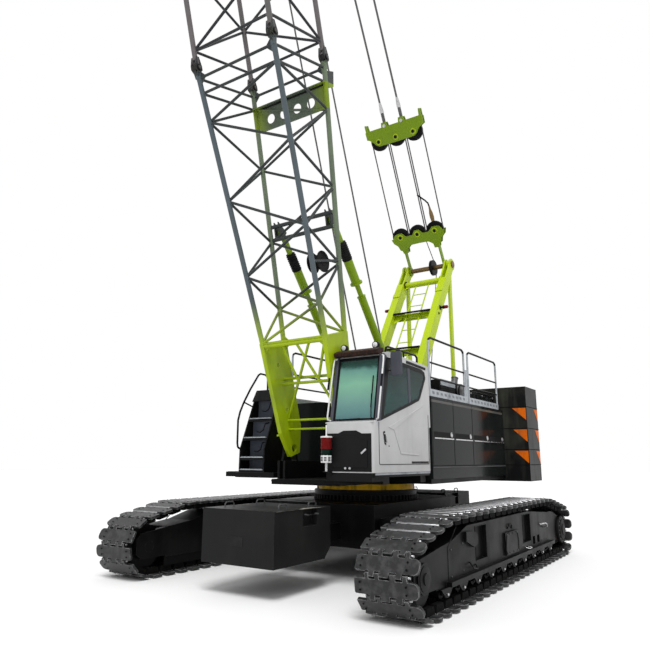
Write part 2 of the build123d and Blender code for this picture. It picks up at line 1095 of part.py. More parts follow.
def work_lamp(y):
    """Lamp on a foot at the front edge of the cab's roof."""
    lamp = block(
        work_lamp_x - work_lamp_half,
        work_lamp_x + work_lamp_half,
        y - work_lamp_half,
        y + work_lamp_half,
        work_lamp_bottom,
        work_lamp_top,
    )
    half = work_lamp_half / 2
    foot = roof_foot(work_lamp_x, half, work_lamp_bottom + half)
    return fuse(lamp, prism("y", foot, y - half, y + half))


def cab_mirror():
    """Mirror on an arm at the cab's left front corner."""
    glass = block(
        mirror_x - mirror_half_thickness, mirror_x + mirror_half_thickness, *mirror_span, *mirror_heights
    )
    arm = block(
        mirror_x - mirror_arm_half,
        mirror_x + mirror_arm_half,
        cab_outer + seat_gap,
        mirror_span[0] + 1,
        *mirror_arm_heights,
    )
    return fuse(glass, arm)


def roof_guard():
    """Low rail on three feet along the left edge of the cab's roof."""
    y, half = roof_rail_y, roof_rail_foot_half
    pieces = [
        rod((roof_rail_feet[0], y, roof_rail_z), (roof_rail_feet[-1], y, roof_rail_z), roof_rail_radius)
    ]
    for x in roof_rail_feet:
        pieces.append(prism("y", roof_foot(x, half, roof_rail_z), y - half, y + half))
    return fuse(*pieces)


write("cab_fittings", *[work_lamp(y) for y in work_lamp_places], cab_mirror(), roof_guard())


def lamp_column():
    """Column of two lamps on a bracket at the right corner of the cab's nose."""
    pieces = []
    base = column_base
    for radius, top in column_bands:
        pieces.append(rod((column_x, column_y, base), (column_x, column_y, top), radius))
        base = top
    bracket = block(
        cab_nose + seat_gap, column_x + 45, column_y - 40, column_y + 40, column_base - 30, column_base + 1
    )
    return fuse(bracket, *pieces)


write("lamp_column", lamp_column())


# Gantry

leg_slope = radians(gantry_leg_angle)


def leg_x(z, forward=0):
    """X of the sloping leg's middle line at a height, or of a line that far in front of it."""
    return gantry_x + (gantry_z - z) / tan(leg_slope) + forward / sin(leg_slope)


def leg_strip(z_low, z_high, half):
    """Outline in XZ of a strip along the leg's middle line."""
    return [
        (leg_x(z_low, -half), z_low),
        (leg_x(z_low, half), z_low),
        (leg_x(z_high, half), z_high),
        (leg_x(z_high, -half), z_high),
    ]


def gantry_leg():
    """Sloping front leg on the left: a box section with two cheeks as its head, and the backstop's lugs."""
    y_low, y_high = gantry_y - leg_width / 2, gantry_y + leg_width / 2
    leg = prism("y", leg_strip(gantry_foot_z, gantry_box_top, leg_depth / 2), y_low, y_high)
    pieces = []
    for low, high in ((y_low, y_low + cheek_thickness), (y_high - cheek_thickness, y_high)):
        pieces.append(
            prism("y", leg_strip(gantry_box_top - cheek_half, gantry_z, cheek_half), low, high)
        )
        pieces.append(shaft_y(gantry_x, gantry_z, low, high, gantry_head_radius))
    reach = 200
    lug = [
        (leg_x(backstop_base_z + reach), backstop_base_z + reach),
        (backstop_base_x, backstop_base_z + backstop_eye_radius),
        (backstop_base_x + backstop_eye_radius, backstop_base_z),
        (backstop_base_x, backstop_base_z - backstop_eye_radius),
        (leg_x(backstop_base_z - reach), backstop_base_z - reach),
    ]
    for low in (
        backstop_eye_half + pin_side_gap,
        -backstop_eye_half - pin_side_gap - backstop_lug_thickness,
    ):
        pieces.append(prism("y", lug, gantry_y + low, gantry_y + low + backstop_lug_thickness))
    pin_half = backstop_eye_half + pin_side_gap + backstop_lug_thickness
    pieces.append(
        shaft_y(
            backstop_base_x, backstop_base_z, gantry_y - pin_half, gantry_y + pin_half, backstop_pin_radius
        )
    )
    return fuse(leg, *pieces)


def gantry_ladder():
    """Ladder in the legs' plane, from the top tube down to the lowest member."""
    pieces = [
        rod(
            (leg_x(ladder_bottom), y, ladder_bottom), (leg_x(ladder_top), y, ladder_top), ladder_tube_radius
        )
        for y in ladder_sides
    ]
    rung_z = ladder_first_rung
    while rung_z > ladder_bottom:
        pieces.append(shaft_y(leg_x(rung_z), rung_z, *ladder_sides, rung_radius))
        rung_z -= rung_pitch
    return pieces


def gantry_legs():
    """Both front legs with their cross-members and ladder, bored for the head shaft."""
    half = foot_member_size / 2
    x = leg_x(foot_member_z)
    members = [
        block(x - half, x + half, -gantry_y, gantry_y, foot_member_z - half, foot_member_z + half),
        shaft_y(leg_x(top_tube_z), top_tube_z, -gantry_y, gantry_y, top_tube_radius),
    ]
    for z in walkway_members:
        x = leg_x(z)
        angle = [
            (x - angle_half, z + angle_half),
            (x + angle_half, z + angle_half),
            (x + angle_half, z + angle_half - angle_thickness),
            (x - angle_half + angle_thickness, z + angle_half - angle_thickness),
            (x - angle_half + angle_thickness, z - angle_half),
            (x - angle_half, z - angle_half),
        ]
        members.append(prism("y", angle, -gantry_y, gantry_y))
    legs = fuse(*both_sides(gantry_leg()), *members, *gantry_ladder())
    reach = gantry_y + leg_width
    return legs - shaft_y(gantry_x, gantry_z, -reach, reach, gantry_shaft_radius + pin_clearance)


def gantry_walkway(z):
    """Narrow grating on a cross-member, with room round the ladder's sides."""
    x = leg_x(z)
    base = z + angle_half + seat_gap
    plate = block(
        x - walkway_rear,
        x + walkway_front,
        -walkway_half_width,
        walkway_half_width,
        base,
        base + walkway_thickness,
    )
    room = ladder_tube_radius * 2
    return plate - block(
        x - walkway_rear - 1,
        x + walkway_front - 15,
        ladder_sides[0] - room,
        ladder_sides[1] + room,
        base - 1,
        base + walkway_thickness + 1,
    )


def gantry_strut():
    """Upright rear strut on the left, between the cheeks of the leg's head and the girder."""
    y_low, y_high = gantry_y - strut_width / 2, gantry_y + strut_width / 2
    post = block(
        gantry_x - strut_depth / 2, gantry_x + strut_depth / 2, y_low, y_high, gantry_foot_z, gantry_z
    )
    head = shaft_y(gantry_x, gantry_z, y_low, y_high, strut_head_radius)
    foot = block(
        gantry_x - strut_depth,
        gantry_x + strut_depth,
        gantry_y - strut_width,
        gantry_y + strut_width,
        gantry_foot_z,
        gantry_foot_z + strut_foot_height,
    )
    strut = fuse(post, head, foot)
    return strut - shaft_y(gantry_x, gantry_z, y_low - 1, y_high + 1, gantry_shaft_radius + pin_clearance)


def gantry_shaft():
    """Head shaft through legs, struts and the tackle's links, with a collar at each end."""
    end = gantry_y + leg_width / 2 + side_gap
    shaft = shaft_y(gantry_x, gantry_z, -end, end, gantry_shaft_radius)
    collars = [
        shaft_y(gantry_x, gantry_z, low, low + collar_width, gantry_shaft_radius + 25)
        for low in (end, -end - collar_width)
    ]
    return fuse(shaft, *collars)


def marker_lamp(side, z):
    """Lamp that points outwards from a leg's outer side."""
    y = gantry_y + leg_width / 2 + seat_gap
    low, high = sorted((side * y, side * (y + marker_reach)))
    return shaft_y(leg_x(z), z, low, high, marker_radius)


write("gantry_legs", gantry_legs())
write("gantry_walkways", *[gantry_walkway(z) for z in walkway_members])
write("gantry_struts", *both_sides(gantry_strut()))
write("gantry_shaft", gantry_shaft())
write("marker_lamps", *[marker_lamp(*place) for place in marker_places])
write(
    "gantry_sheave",
    shaft_y(
        gantry_x,
        gantry_z,
        gantry_sheave_y - tackle_sheave_width / 2,
        gantry_sheave_y + tackle_sheave_width / 2,
        gantry_sheave_radius,
        gantry_shaft_radius + pin_clearance,
    ),
)


# Winches


def winch(x, z, radius):
    """Rope drum with two flanges on its shaft between the girders."""
    barrel = shaft_y(x, z, -drum_half_width, drum_half_width, radius * 0.65)
    flanges = [
        shaft_y(x, z, low, low + flange_thickness, radius)
        for low in (-drum_half_width, drum_half_width - flange_thickness)
    ]
    shaft = shaft_y(x, z, -girder_inner, girder_inner, 60)
    return fuse(barrel, *flanges, shaft)


write("winch_drums", *[winch(x, z, radius) for x, z, radius in winches])


# Boom

lean = Vector(cos(radians(boom_angle)), 0, sin(radians(boom_angle)))
below = Vector(lean.Z, 0, -lean.X)
foot = Vector(foot_x, 0, foot_z)
boom_length = butt_end + sum(insert_lengths) + head_length


def boom_point(s, depth, y=0):
    """Point at a length along the boom, a depth below its axis and a width to its left."""
    return foot + lean * s + below * depth + Vector(0, y, 0)


def between(value, stations):
    """Straight-line value between (station, value) pairs."""
    for (s_low, v_low), (s_high, v_high) in zip(stations, stations[1:]):
        if value <= s_high:
            return v_low + (v_high - v_low) * (value - s_low) / (s_high - s_low)
    return stations[-1][1]


head_start = boom_length - head_length
width_stations = [
    (plate_bend, foot_half_width),
    (plates_end, plates_half_width),
    (butt_end, lattice_half_width),
    (head_start, lattice_half_width),
    (boom_length, head_half_width),
]
depth_stations = [
    (0, plates_half_depth),
    (plates_end, plates_half_depth),
    (butt_end, lattice_half_depth),
    (head_start, lattice_half_depth),
    (boom_length, head_half_depth),
]
corners = [(1, 1), (1, -1), (-1, -1), (-1, 1)]
faces = list(zip(corners, corners[1:] + corners[:1]))


def chord_point(s, front, left):
    """Point on a chord: front is +1 for the lower pair, left +1 for the left pair."""
    return boom_point(s, front * between(s, depth_stations), left * between(s, width_stations))


def chord_bar(first, second, radius):
    """Round bar between two (station, front, left) places on the chords."""
    return rod(tuple(chord_point(*first)), tuple(chord_point(*second)), radius)


def boom_plate(outline, y_low, y_high):
    """Plate with an outline of (length, depth) pairs, square to the boom foot's pin."""
    places = [boom_point(s, depth) for s, depth in outline]
    return prism("y", [(place.X, place.Z) for place in places], y_low, y_high)


def lattice(s_low, stations, s_high):
    """Four chords, a zigzag on each face between the stations, and struts at the end ones."""
    pieces = [chord_bar((s_low, *corner), (s_high, *corner), chord_radius) for corner in corners]
    for count, (first, second) in enumerate(faces):
        for bay, (low, high) in enumerate(zip(stations, stations[1:])):
            start, end = (first, second) if (bay + count) % 2 else (second, first)
            pieces.append(chord_bar((low, *start), (high, *end), lacing_radius))
        for s in (stations[0], stations[-1]):
            pieces.append(chord_bar((s, *first), (s, *second), lacing_radius))
    return pieces


def joint_plate(s, front, left, way, y_low, y_high):
    """Plate from a chord's end to the joint's pin; way is +1 where the chord comes from below the joint."""
    depth = front * between(s, depth_stations)
    y = left * between(s, width_stations)
    reach = way * (joint_reach + 50)
    round_off = way * joint_boss_radius * 0.4
    outline = [
        (s - reach, depth - chord_radius * 0.75),
        (s - reach, depth + chord_radius * 0.75),
        (s - round_off, depth + joint_boss_radius),
        (s + round_off, depth + joint_boss_radius),
        (s + way * joint_boss_radius, depth + joint_boss_radius * 0.4),
        (s + way * joint_boss_radius, depth - joint_boss_radius * 0.4),
        (s + round_off, depth - joint_boss_radius),
        (s - round_off, depth - joint_boss_radius),
    ]
    return boom_plate(outline, y + y_low, y + y_high)


def joint_lugs(s):
    """Single lugs at a section's upper end, each bored for its pin."""
    lugs = []
    for front, left in corners:
        lug = joint_plate(s, front, left, 1, -joint_lug_half, joint_lug_half)
        place = chord_point(s, front, left)
        reach = joint_lug_half + 1
        lugs.append(
            lug
            - shaft_y(
                place.X, place.Z, place.Y - reach, place.Y + reach, joint_pin_radius + pin_clearance
            )
        )
    return lugs


def joint_forks(s):
    """Forks with their pins at a section's lower end."""
    pieces = []
    near = joint_lug_half + side_gap
    far = near + joint_fork_thickness
    for front, left in corners:
        for low, high in ((near, far), (-far, -near)):
            pieces.append(joint_plate(s, front, left, -1, low, high))
        place = chord_point(s, front, left)
        pieces.append(
            shaft_y(place.X, place.Z, place.Y - far - 20, place.Y + far + 20, joint_pin_radius)
        )
    return pieces


def even_stations(s_low, s_high):
    """Even bays between a section's first and last nodes."""
    run = s_high - s_low - 2 * node_inset
    bays = max(2, round(run / bay_length))
    return [s_low + node_inset + run * count / bays for count in range(bays + 1)]


def boom_insert(s_low, s_high):
    """Parallel section between two joints."""
    chords_and_lacing = lattice(
        s_low + joint_reach, even_stations(s_low, s_high), s_high - joint_reach
    )
    return fuse(*chords_and_lacing, *joint_forks(s_low), *joint_lugs(s_high))


def foot_plate(left):
    """Side plate of the boom's foot: square to the pin at first, then spread towards the chords, with two
    round holes and a stiffening lip near the pin."""
    y = left * foot_half_width
    half = foot_thickness / 2
    boss = boom_plate([(-120, -140), (-120, 140), (plate_bend, 300), (plate_bend, -300)], y - half, y + half)
    end = plates_end + 60
    top = plates_half_depth + chord_radius
    outline = [
        boom_point(s, depth, left * between(s, width_stations) - half)
        for s, depth in ((plate_bend, -300), (plate_bend, 300), (end, top), (end, -top))
    ]
    spread = Solid.extrude(Face(Wire.make_polygon(outline, close=True)), Vector(0, foot_thickness, 0))
    outer = sorted((left * (foot_half_width + half - 1), left * (foot_half_width + half + foot_lip_reach)))
    lip = boom_plate(
        [
            (foot_lip_s, -90),
            (foot_lip_s + foot_lip_thickness, -90),
            (foot_lip_s + foot_lip_thickness, 280),
            (foot_lip_s, 280),
        ],
        *outer,
    )
    plate = fuse(boss, Part(spread.wrapped), lip)
    for s, depth in foot_holes:
        place = boom_point(s, depth)
        middle = left * between(s, width_stations)
        plate -= shaft_y(
            place.X, place.Z, middle - foot_thickness, middle + foot_thickness, foot_hole_radius
        )
    return plate


def foot_cross_tubes():
    """Tubes and braces between the two foot plates."""
    pieces = []
    for s, depth, radius in foot_tubes:
        half = between(s, width_stations)
        place = boom_point(s, depth)
        pieces.append(shaft_y(place.X, place.Z, -half, half, radius))
    for start, end in foot_braces:
        pieces.append(rod(tuple(boom_point(*start)), tuple(boom_point(*end)), lacing_radius))
    return pieces


def backstop_lugs():
    """Two cross tubes on the boom's rear face and the lugs on them for the backstops."""
    low, high = backstop_tubes
    pieces = [chord_bar((s, -1, 1), (s, -1, -1), cross_tube_radius) for s in backstop_tubes]
    outline = [
        (low, -between(low, depth_stations)),
        (high + backstop_eye_radius, -between(high, depth_stations)),
        (backstop_s + backstop_eye_radius, backstop_depth),
        (backstop_s, backstop_depth - backstop_eye_radius),
        (backstop_s - backstop_eye_radius, backstop_depth),
    ]
    inner = backstop_eye_half + pin_side_gap
    for y in (-gantry_y, gantry_y):
        for start in (inner, -inner - backstop_lug_thickness):
            pieces.append(boom_plate(outline, y + start, y + start + backstop_lug_thickness))
    return pieces


def rear_plate():
    """Plate with a row of round holes between the rear chords, with a flange along its upper edge."""
    depth = -between(rear_plate_hole_s, depth_stations)
    half = between(rear_plate_hole_s, width_stations)
    plate = boom_plate(
        [
            (rear_plate_low, depth),
            (rear_plate_high, depth - 40),
            (rear_plate_high, depth - 40 + rear_plate_thickness),
            (rear_plate_low, depth + rear_plate_thickness),
        ],
        -half,
        half,
    )
    flange = boom_plate(
        [
            (rear_plate_high - rear_plate_thickness, depth - 40),
            (rear_plate_high, depth - 40),
            (rear_plate_high, depth - 40 + rear_plate_flange),
            (rear_plate_high - rear_plate_thickness, depth - 40 + rear_plate_flange),
        ],
        -half,
        half,
    )
    plate = fuse(plate, flange)
    for y in rear_plate_holes:
        start = boom_point(rear_plate_hole_s, depth - 100, y)
        end = boom_point(rear_plate_hole_s, depth + 100, y)
        plate -= rod(tuple(start), tuple(end), rear_plate_hole_radius)
    return plate


def reel_bar():
    """Lacing bar on the butt's left side that carries the cable reel."""
    return chord_bar((reel_s, 1, 1), (reel_s, -1, 1), lacing_radius)


def boom_butt():
    """First section: two foot plates, and the tapering lattice above them."""
    pieces = lattice(plates_end, butt_stations, butt_end - joint_reach)
    for first, second in faces:
        pieces.append(chord_bar((plates_end, *first), (plates_end, *second), cross_tube_radius))
        pieces.append(chord_bar((butt_top_struts, *first), (butt_top_struts, *second), lacing_radius))
    pieces += [foot_plate(left) for left in (-1, 1)]
    pieces += foot_cross_tubes()
    pieces += backstop_lugs()
    pieces += joint_lugs(butt_end)
    butt = fuse(*pieces, rear_plate(), reel_bar())
    for left in (-1, 1):
        y = left * foot_half_width
        butt -= shaft_y(
            foot_x, foot_z, y - foot_thickness, y + foot_thickness, foot_pin_radius + pin_clearance
        )
    return butt


def cable_reel():
    """Two discs on a hub that is seated on the reel's bar."""
    centre = boom_point(reel_s, 0)
    outer = between(reel_s, width_stations)
    hub = shaft_y(centre.X, centre.Z, reel_inner_y, outer, reel_hub_radius / 2)
    drum = shaft_y(
        centre.X, centre.Z, reel_inner_y, reel_inner_y + reel_disc_gap, reel_hub_radius
    )
    discs = [
        shaft_y(centre.X, centre.Z, y, y + reel_disc_thickness, reel_disc_radius)
        for y in (reel_inner_y, reel_inner_y + reel_disc_gap)
    ]
    bar = chord_bar((reel_s, 1, 1), (reel_s, -1, 1), lacing_radius + pin_clearance)
    return fuse(hub, drum, *discs) - bar


def boom_head():
    """Tapered top section with a plated head that carries the sheaves' shaft and the pendants' lugs."""
    plates_low = head_plates_start
    stations = [
        head_start + node_inset + (plates_low - head_start - node_inset) * count / head_bay_count
        for count in range(head_bay_count + 1)
    ]
    pieces = lattice(head_start + joint_reach, stations, plates_low + 100)
    pieces += joint_forks(head_start)
    outline = [
        (plates_low, -between(plates_low, depth_stations) - chord_radius),
        (plates_low, between(plates_low, depth_stations) + chord_radius),
        (boom_length, head_sheave_depth + 190),
        (boom_length + 150, head_sheave_depth + 60),
        (boom_length + 150, -120),
        (boom_length - 200, -between(boom_length, depth_stations)),
    ]
    for left in (-1, 1):
        y = left * head_plate_y
        pieces.append(boom_plate(outline, y - head_plate_thickness / 2, y + head_plate_thickness / 2))
    beam = [
        (pendant_attach_s - 100, pendant_beam_depth - 100),
        (pendant_attach_s + 100, pendant_beam_depth - 100),
        (pendant_attach_s + 100, pendant_beam_depth + 100),
        (pendant_attach_s - 100, pendant_beam_depth + 100),
    ]
    pieces.append(boom_plate(beam, -head_plate_y, head_plate_y))
    lug = [
        (pendant_attach_s - 90, pendant_beam_depth),
        (pendant_attach_s + 90, pendant_beam_depth),
        (pendant_attach_s + 70, pendant_attach_depth),
        (pendant_attach_s, pendant_attach_depth - 70),
        (pendant_attach_s - 70, pendant_attach_depth),
    ]
    for y in (-pendant_y, pendant_y):
        pieces.append(boom_plate(lug, y - pendant_lug_thickness / 2, y + pendant_lug_thickness / 2))
    for s in (plates_low + 100, plates_low + 450):
        for depth in (-220, 220):
            place = boom_point(s, depth)
            pieces.append(shaft_y(place.X, place.Z, -head_plate_y, head_plate_y, lacing_radius))
    centre = boom_point(boom_length, head_sheave_depth)
    pieces.append(shaft_y(centre.X, centre.Z, -head_plate_y, head_plate_y, head_shaft_radius))
    return fuse(*pieces)


write("boom_butt", boom_butt())
write("cable_reel", cable_reel())
insert_start = butt_end
for number, length in enumerate(insert_lengths, start=1):
    write(f"boom_insert_{number}", boom_insert(insert_start, insert_start + length))
    insert_start += length
write("boom_head", boom_head())
head_centre = boom_point(boom_length, head_sheave_depth)
write(
    "head_sheaves",
    *[
        shaft_y(
            head_centre.X,
            head_centre.Z,
            y - head_sheave_width / 2,
            y + head_sheave_width / 2,
            head_sheave_radius,
            head_shaft_radius + pin_clearance,
        )
        for y in (-head_sheave_y, head_sheave_y)
    ],
)


# Luffing tackle and pendants


def unit(run):
    """Direction of a vector."""
    return run * (1 / run.length)


gantry_head = Vector(gantry_x, 0, gantry_z)
lower_centre = Vector(lower_spreader_x, 0, lower_spreader_z)
upper_centre = Vector(upper_spreader_x, 0, upper_spreader_z)
pendant_end = boom_point(pendant_attach_s, pendant_attach_depth)


def both_halves(half):
    """Whole outline from the half on one side of the middle line."""
    return half + [(-y, reach) for y, reach in half[-2:0:-1]]


def spreader(centre, along, outline):
    """Two plates across the stay line, with a pin for each sheave between them."""
    across = Vector(-along.Z, 0, along.X)
    pieces = []
    inner = tackle_sheave_width / 2 + sheave_side_gap
    for start in (inner, -inner - spreader_thickness):
        places = [
            centre + along * reach + Vector(0, y, 0) + across * start for y, reach in outline
        ]
        plate = Solid.extrude(
            Face(Wire.make_polygon(places, close=True)), across * spreader_thickness
        )
        pieces.append(Part(plate.wrapped))
    half = inner + spreader_thickness + pin_head
    for y in sheave_places:
        middle = centre + Vector(0, y, 0)
        pieces.append(rod(tuple(middle - across * half), tuple(middle + across * half), sheave_pin_radius))
    return pieces


def tackle_sheaves(centre, along):
    """Three sheaves of a spreader, each bored for its pin."""
    across = Vector(-along.Z, 0, along.X)
    half = across * (tackle_sheave_width / 2)
    discs = []
    for y in sheave_places:
        middle = centre + Vector(0, y, 0)
        discs.append(
            rod(
                tuple(middle - half), tuple(middle + half), tackle_sheave_radius, sheave_pin_radius + pin_clearance
            )
        )
    return discs


def lower_tackle():
    """Lower spreader on two links from the gantry's head shaft."""
    along = unit(lower_centre - gantry_head)
    pieces = spreader(lower_centre, along, both_halves(lower_spreader_half))
    across = Vector(-along.Z, 0, along.X) * (link_depth / 2)
    tip = lower_centre - along * link_tip
    y_low = link_inner_y
    for low in (y_low, -y_low - link_width):
        places = [gantry_head - across, gantry_head + across, tip + across, tip - across]
        pieces.append(prism("y", [(place.X, place.Z) for place in places], low, low + link_width))
        pieces.append(shaft_y(gantry_x, gantry_z, low, low + link_width, link_eye_radius))
    tackle = fuse(*pieces)
    reach = y_low + link_width + 1
    return tackle - shaft_y(gantry_x, gantry_z, -reach, reach, gantry_shaft_radius + pin_clearance)


def upper_spreader():
    """Upper spreader: two scalloped plates with lugs for the pendants."""
    along = unit(pendant_end - gantry_head)
    return fuse(*spreader(upper_centre, along, both_halves(upper_spreader_half)))


def pendants():
    """Left pendant: a bar with sockets, a plate between the spreader's plates, and a fork at the boom."""
    along = unit(pendant_end - gantry_head)
    start = upper_centre + along * pendant_root + Vector(0, pendant_y, 0)
    end = pendant_end + Vector(0, pendant_y, 0)
    run = (end - start).length
    way = unit(end - start)

    def place(reach):
        return tuple(start + way * reach)

    pieces = [
        rod(place(120), place(run - pendant_fork_length), pendant_radius),
        rod(place(0), place(320), socket_radius),
        rod(place(run - pendant_fork_length - 240), place(run - pendant_fork_length + 60), socket_radius),
    ]
    across = Vector(-way.Z, 0, way.X) * 60
    low, high = end - way * pendant_fork_length, end + way * 80
    inner = pendant_lug_thickness / 2 + pin_side_gap
    root = low + way * 60
    for offset in (inner, -inner - pendant_fork_thickness):
        corners_xz = [low - across, low + across, high + across, high - across]
        pieces.append(
            prism(
                "y",
                [(corner.X, corner.Z) for corner in corners_xz],
                pendant_y + offset,
                pendant_y + offset + pendant_fork_thickness,
            )
        )
    bridge = [low - across, low + across, root + across, root - across]
    pieces.append(
        prism(
            "y",
            [(corner.X, corner.Z) for corner in bridge],
            pendant_y - inner - pendant_fork_thickness,
            pendant_y + inner + pendant_fork_thickness,
        )
    )
    return fuse(*pieces)


write("lower_tackle", lower_tackle())
write("lower_tackle_sheaves", *tackle_sheaves(lower_centre, unit(lower_centre - gantry_head)))
write("upper_spreader", upper_spreader())
write("upper_spreader_sheaves", *tackle_sheaves(upper_centre, unit(pendant_end - gantry_head)))
write("pendants", *both_sides(pendants()))


# Backstops

backstop_base = Vector(backstop_base_x, gantry_y, backstop_base_z)
backstop_eye = boom_point(backstop_s, backstop_depth, gantry_y)
backstop_way = unit(backstop_eye - backstop_base)
backstop_run = (backstop_eye - backstop_base).length


def backstop_place(reach):
    """Point along the left backstop from its base pin."""
    return tuple(backstop_base + backstop_way * reach)


def backstop_eye_ring(centre, bore):
    """Flat eye across the pin's axis."""
    y_low, y_high = gantry_y - backstop_eye_half, gantry_y + backstop_eye_half
    return shaft_y(centre.X, centre.Z, y_low, y_high, backstop_eye_radius, bore)


def backstop_neck(near, far):
    """Flat bar from an eye to the round part, between two reaches from the base pin."""
    across = Vector(-backstop_way.Z, 0, backstop_way.X) * (backstop_eye_radius * 0.6)
    a, b = Vector(*backstop_place(near)), Vector(*backstop_place(far))
    outline = [(p.X, p.Z) for p in (a - across, a + across, b + across, b - across)]
    return prism("y", outline, gantry_y - backstop_eye_half, gantry_y + backstop_eye_half)


def backstop_tube():
    """Outer tube with its base eye, bored for the rod."""
    barrel = rod(backstop_place(170), backstop_place(backstop_tube_length), backstop_tube_radius)
    tube = fuse(barrel, backstop_neck(50, 200), backstop_eye_ring(backstop_base, 0))
    tube -= shaft_y(
        backstop_base.X,
        backstop_base.Z,
        gantry_y - backstop_eye_half,
        gantry_y + backstop_eye_half,
        backstop_pin_radius + pin_clearance,
    )
    return tube - rod(
        backstop_place(backstop_bore_start), backstop_place(backstop_tube_length + 1), backstop_rod_radius + 0.5
    )


def backstop_rod():
    """Inner rod with its spring housing and the eye at the boom."""
    bar = rod(
        backstop_place(backstop_run - backstop_rod_length), backstop_place(backstop_run - 150), backstop_rod_radius
    )
    spring = rod(
        backstop_place(backstop_run - backstop_spring_start),
        backstop_place(backstop_run - backstop_spring_end),
        backstop_spring_radius,
    )
    flange = rod(
        backstop_place(backstop_run - backstop_spring_start - backstop_flange_thickness),
        backstop_place(backstop_run - backstop_spring_start),
        backstop_flange_radius,
    )
    neck = backstop_neck(backstop_run - backstop_spring_end - 20, backstop_run - 50)
    return fuse(bar, spring, flange, neck, backstop_eye_ring(backstop_eye, backstop_pin_radius))


write("backstop_tubes", *both_sides(backstop_tube()))
write("backstop_rods", *both_sides(backstop_rod()))


# Hook block, hanging from the head sheaves

hook_x = head_centre.X + head_sheave_radius + rope_radius + rope_gap
hook_z = head_centre.Z - hook_drop


def hook_block():
    """Cheek plates on each side of one sheave, whose axis runs fore and aft."""
    sheave = rod(
        (hook_x - head_sheave_width / 2, 0, hook_z),
        (hook_x + head_sheave_width / 2, 0, hook_z),
        head_sheave_y - rope_radius,
    )
    half = head_sheave_y + 40
    cheek_outline = [
        (-half, hook_z - 120),
        (-half, hook_z + 160),
        (half, hook_z + 160),
        (half, hook_z - 120),
        (120, hook_z - 420),
        (-120, hook_z - 420),
    ]
    inner = head_sheave_width / 2 + 8
    cheeks = [
        prism("x", cheek_outline, hook_x + low, hook_x + low + 40) for low in (inner, -inner - 40)
    ]
    pin = rod((hook_x - inner - 60, 0, hook_z), (hook_x + inner + 60, 0, hook_z), 55)
    crosshead = block(hook_x - inner - 20, hook_x + inner + 20, -100, 100, hook_z - 420, hook_z - 300)
    return fuse(sheave, *cheeks, pin, crosshead)


def hook():
    """Shank and a J-shaped hook below the block."""
    top = hook_z - 420 - 0.5
    bend_z = top - 220 - hook_radius
    shank = rod((hook_x, 0, top), (hook_x, 0, bend_z + hook_radius), hook_shank_radius)
    arc = CenterArc((0, 0), hook_radius, -165, 255)
    plane = Plane(origin=(hook_x, 0, bend_z), x_dir=(0, 1, 0), z_dir=(1, 0, 0))
    path = plane * arc
    bend = sweep(Plane(origin=path @ 0, z_dir=path % 0) * Circle(hook_shank_radius), path=path)
    return fuse(shank, bend)


def hoist_falls():
    """Two falls of hoist rope from the head sheaves to the block's sheave."""
    return [
        rod((hook_x, y, hook_z), (hook_x, y, head_centre.Z), rope_radius)
        for y in (-head_sheave_y, head_sheave_y)
    ]


write("hook_block", hook_block())
write("hook", hook())
write("hoist_falls", *hoist_falls())


# Right-hand platform and stair tower


def stair_tower():
    """Tower with four open steps in its sloping front, between its two side walls."""
    tower = prism("y", stair_outline, -stair_outer, -stair_inner)
    for low, high, front in stair_recesses:
        recess = [
            (front - stair_recess_depth, low),
            (front + 200, low),
            (front + 200, high),
            (front - stair_recess_depth, high),
        ]
        tower -= prism("y", recess, stair_wall - stair_outer, -stair_inner - stair_wall)
    return tower


write("right_platform", prism("z", platform_outline, platform_bottom, platform_top - seat_gap))
write("access_steps", stair_tower())
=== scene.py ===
from math import cos, pi, radians, sin

import bmesh
import bpy
import numpy as np
from mathutils import Matrix, Vector
from mathutils.geometry import tessellate_polygon


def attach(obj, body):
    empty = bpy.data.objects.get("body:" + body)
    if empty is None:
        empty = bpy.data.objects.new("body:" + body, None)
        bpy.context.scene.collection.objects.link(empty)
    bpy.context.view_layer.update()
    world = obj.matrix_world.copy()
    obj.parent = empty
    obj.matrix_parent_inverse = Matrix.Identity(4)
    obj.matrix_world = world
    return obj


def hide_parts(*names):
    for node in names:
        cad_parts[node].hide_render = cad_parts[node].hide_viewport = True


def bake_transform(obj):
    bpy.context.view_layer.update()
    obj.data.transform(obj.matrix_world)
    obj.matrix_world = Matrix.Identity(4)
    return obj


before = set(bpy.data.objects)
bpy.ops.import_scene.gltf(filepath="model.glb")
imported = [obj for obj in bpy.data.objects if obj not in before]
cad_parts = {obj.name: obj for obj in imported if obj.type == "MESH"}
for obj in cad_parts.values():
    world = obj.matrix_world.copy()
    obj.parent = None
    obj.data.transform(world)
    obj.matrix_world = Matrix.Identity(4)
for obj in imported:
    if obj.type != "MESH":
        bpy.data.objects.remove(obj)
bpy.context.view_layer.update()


# Camera: it stands low in front of the crane, to the left of its cab, and looks a little
# upwards.

camera_place = Vector((10.656, 6.205, 1.92))
camera_yaw, camera_pitch, camera_roll = radians(33.921), radians(12.453), radians(0.150)

level = Vector((-cos(camera_yaw), -sin(camera_yaw), 0))
level_right = level.cross(Vector((0, 0, 1)))
ahead = level * cos(camera_pitch) + Vector((0, 0, 1)) * sin(camera_pitch)
level_up = level_right.cross(ahead)
right = level_right * cos(camera_roll) + level_up * sin(camera_roll)
up = level_up * cos(camera_roll) - level_right * sin(camera_roll)

camera = bpy.data.objects.new("camera", bpy.data.cameras.new("camera"))
camera.data.lens = 33.763
camera.data.clip_end = 400
turn = Matrix((right, up, -ahead)).transposed()
camera.matrix_world = Matrix.Translation(camera_place) @ turn.to_4x4()
bpy.context.collection.objects.link(camera)
bpy.context.scene.camera = camera
bpy.context.scene.view_settings.view_transform = "Standard"


# Studio: a white floor under a white sky, lit by an even sky and one broad soft lamp from the
# front left.


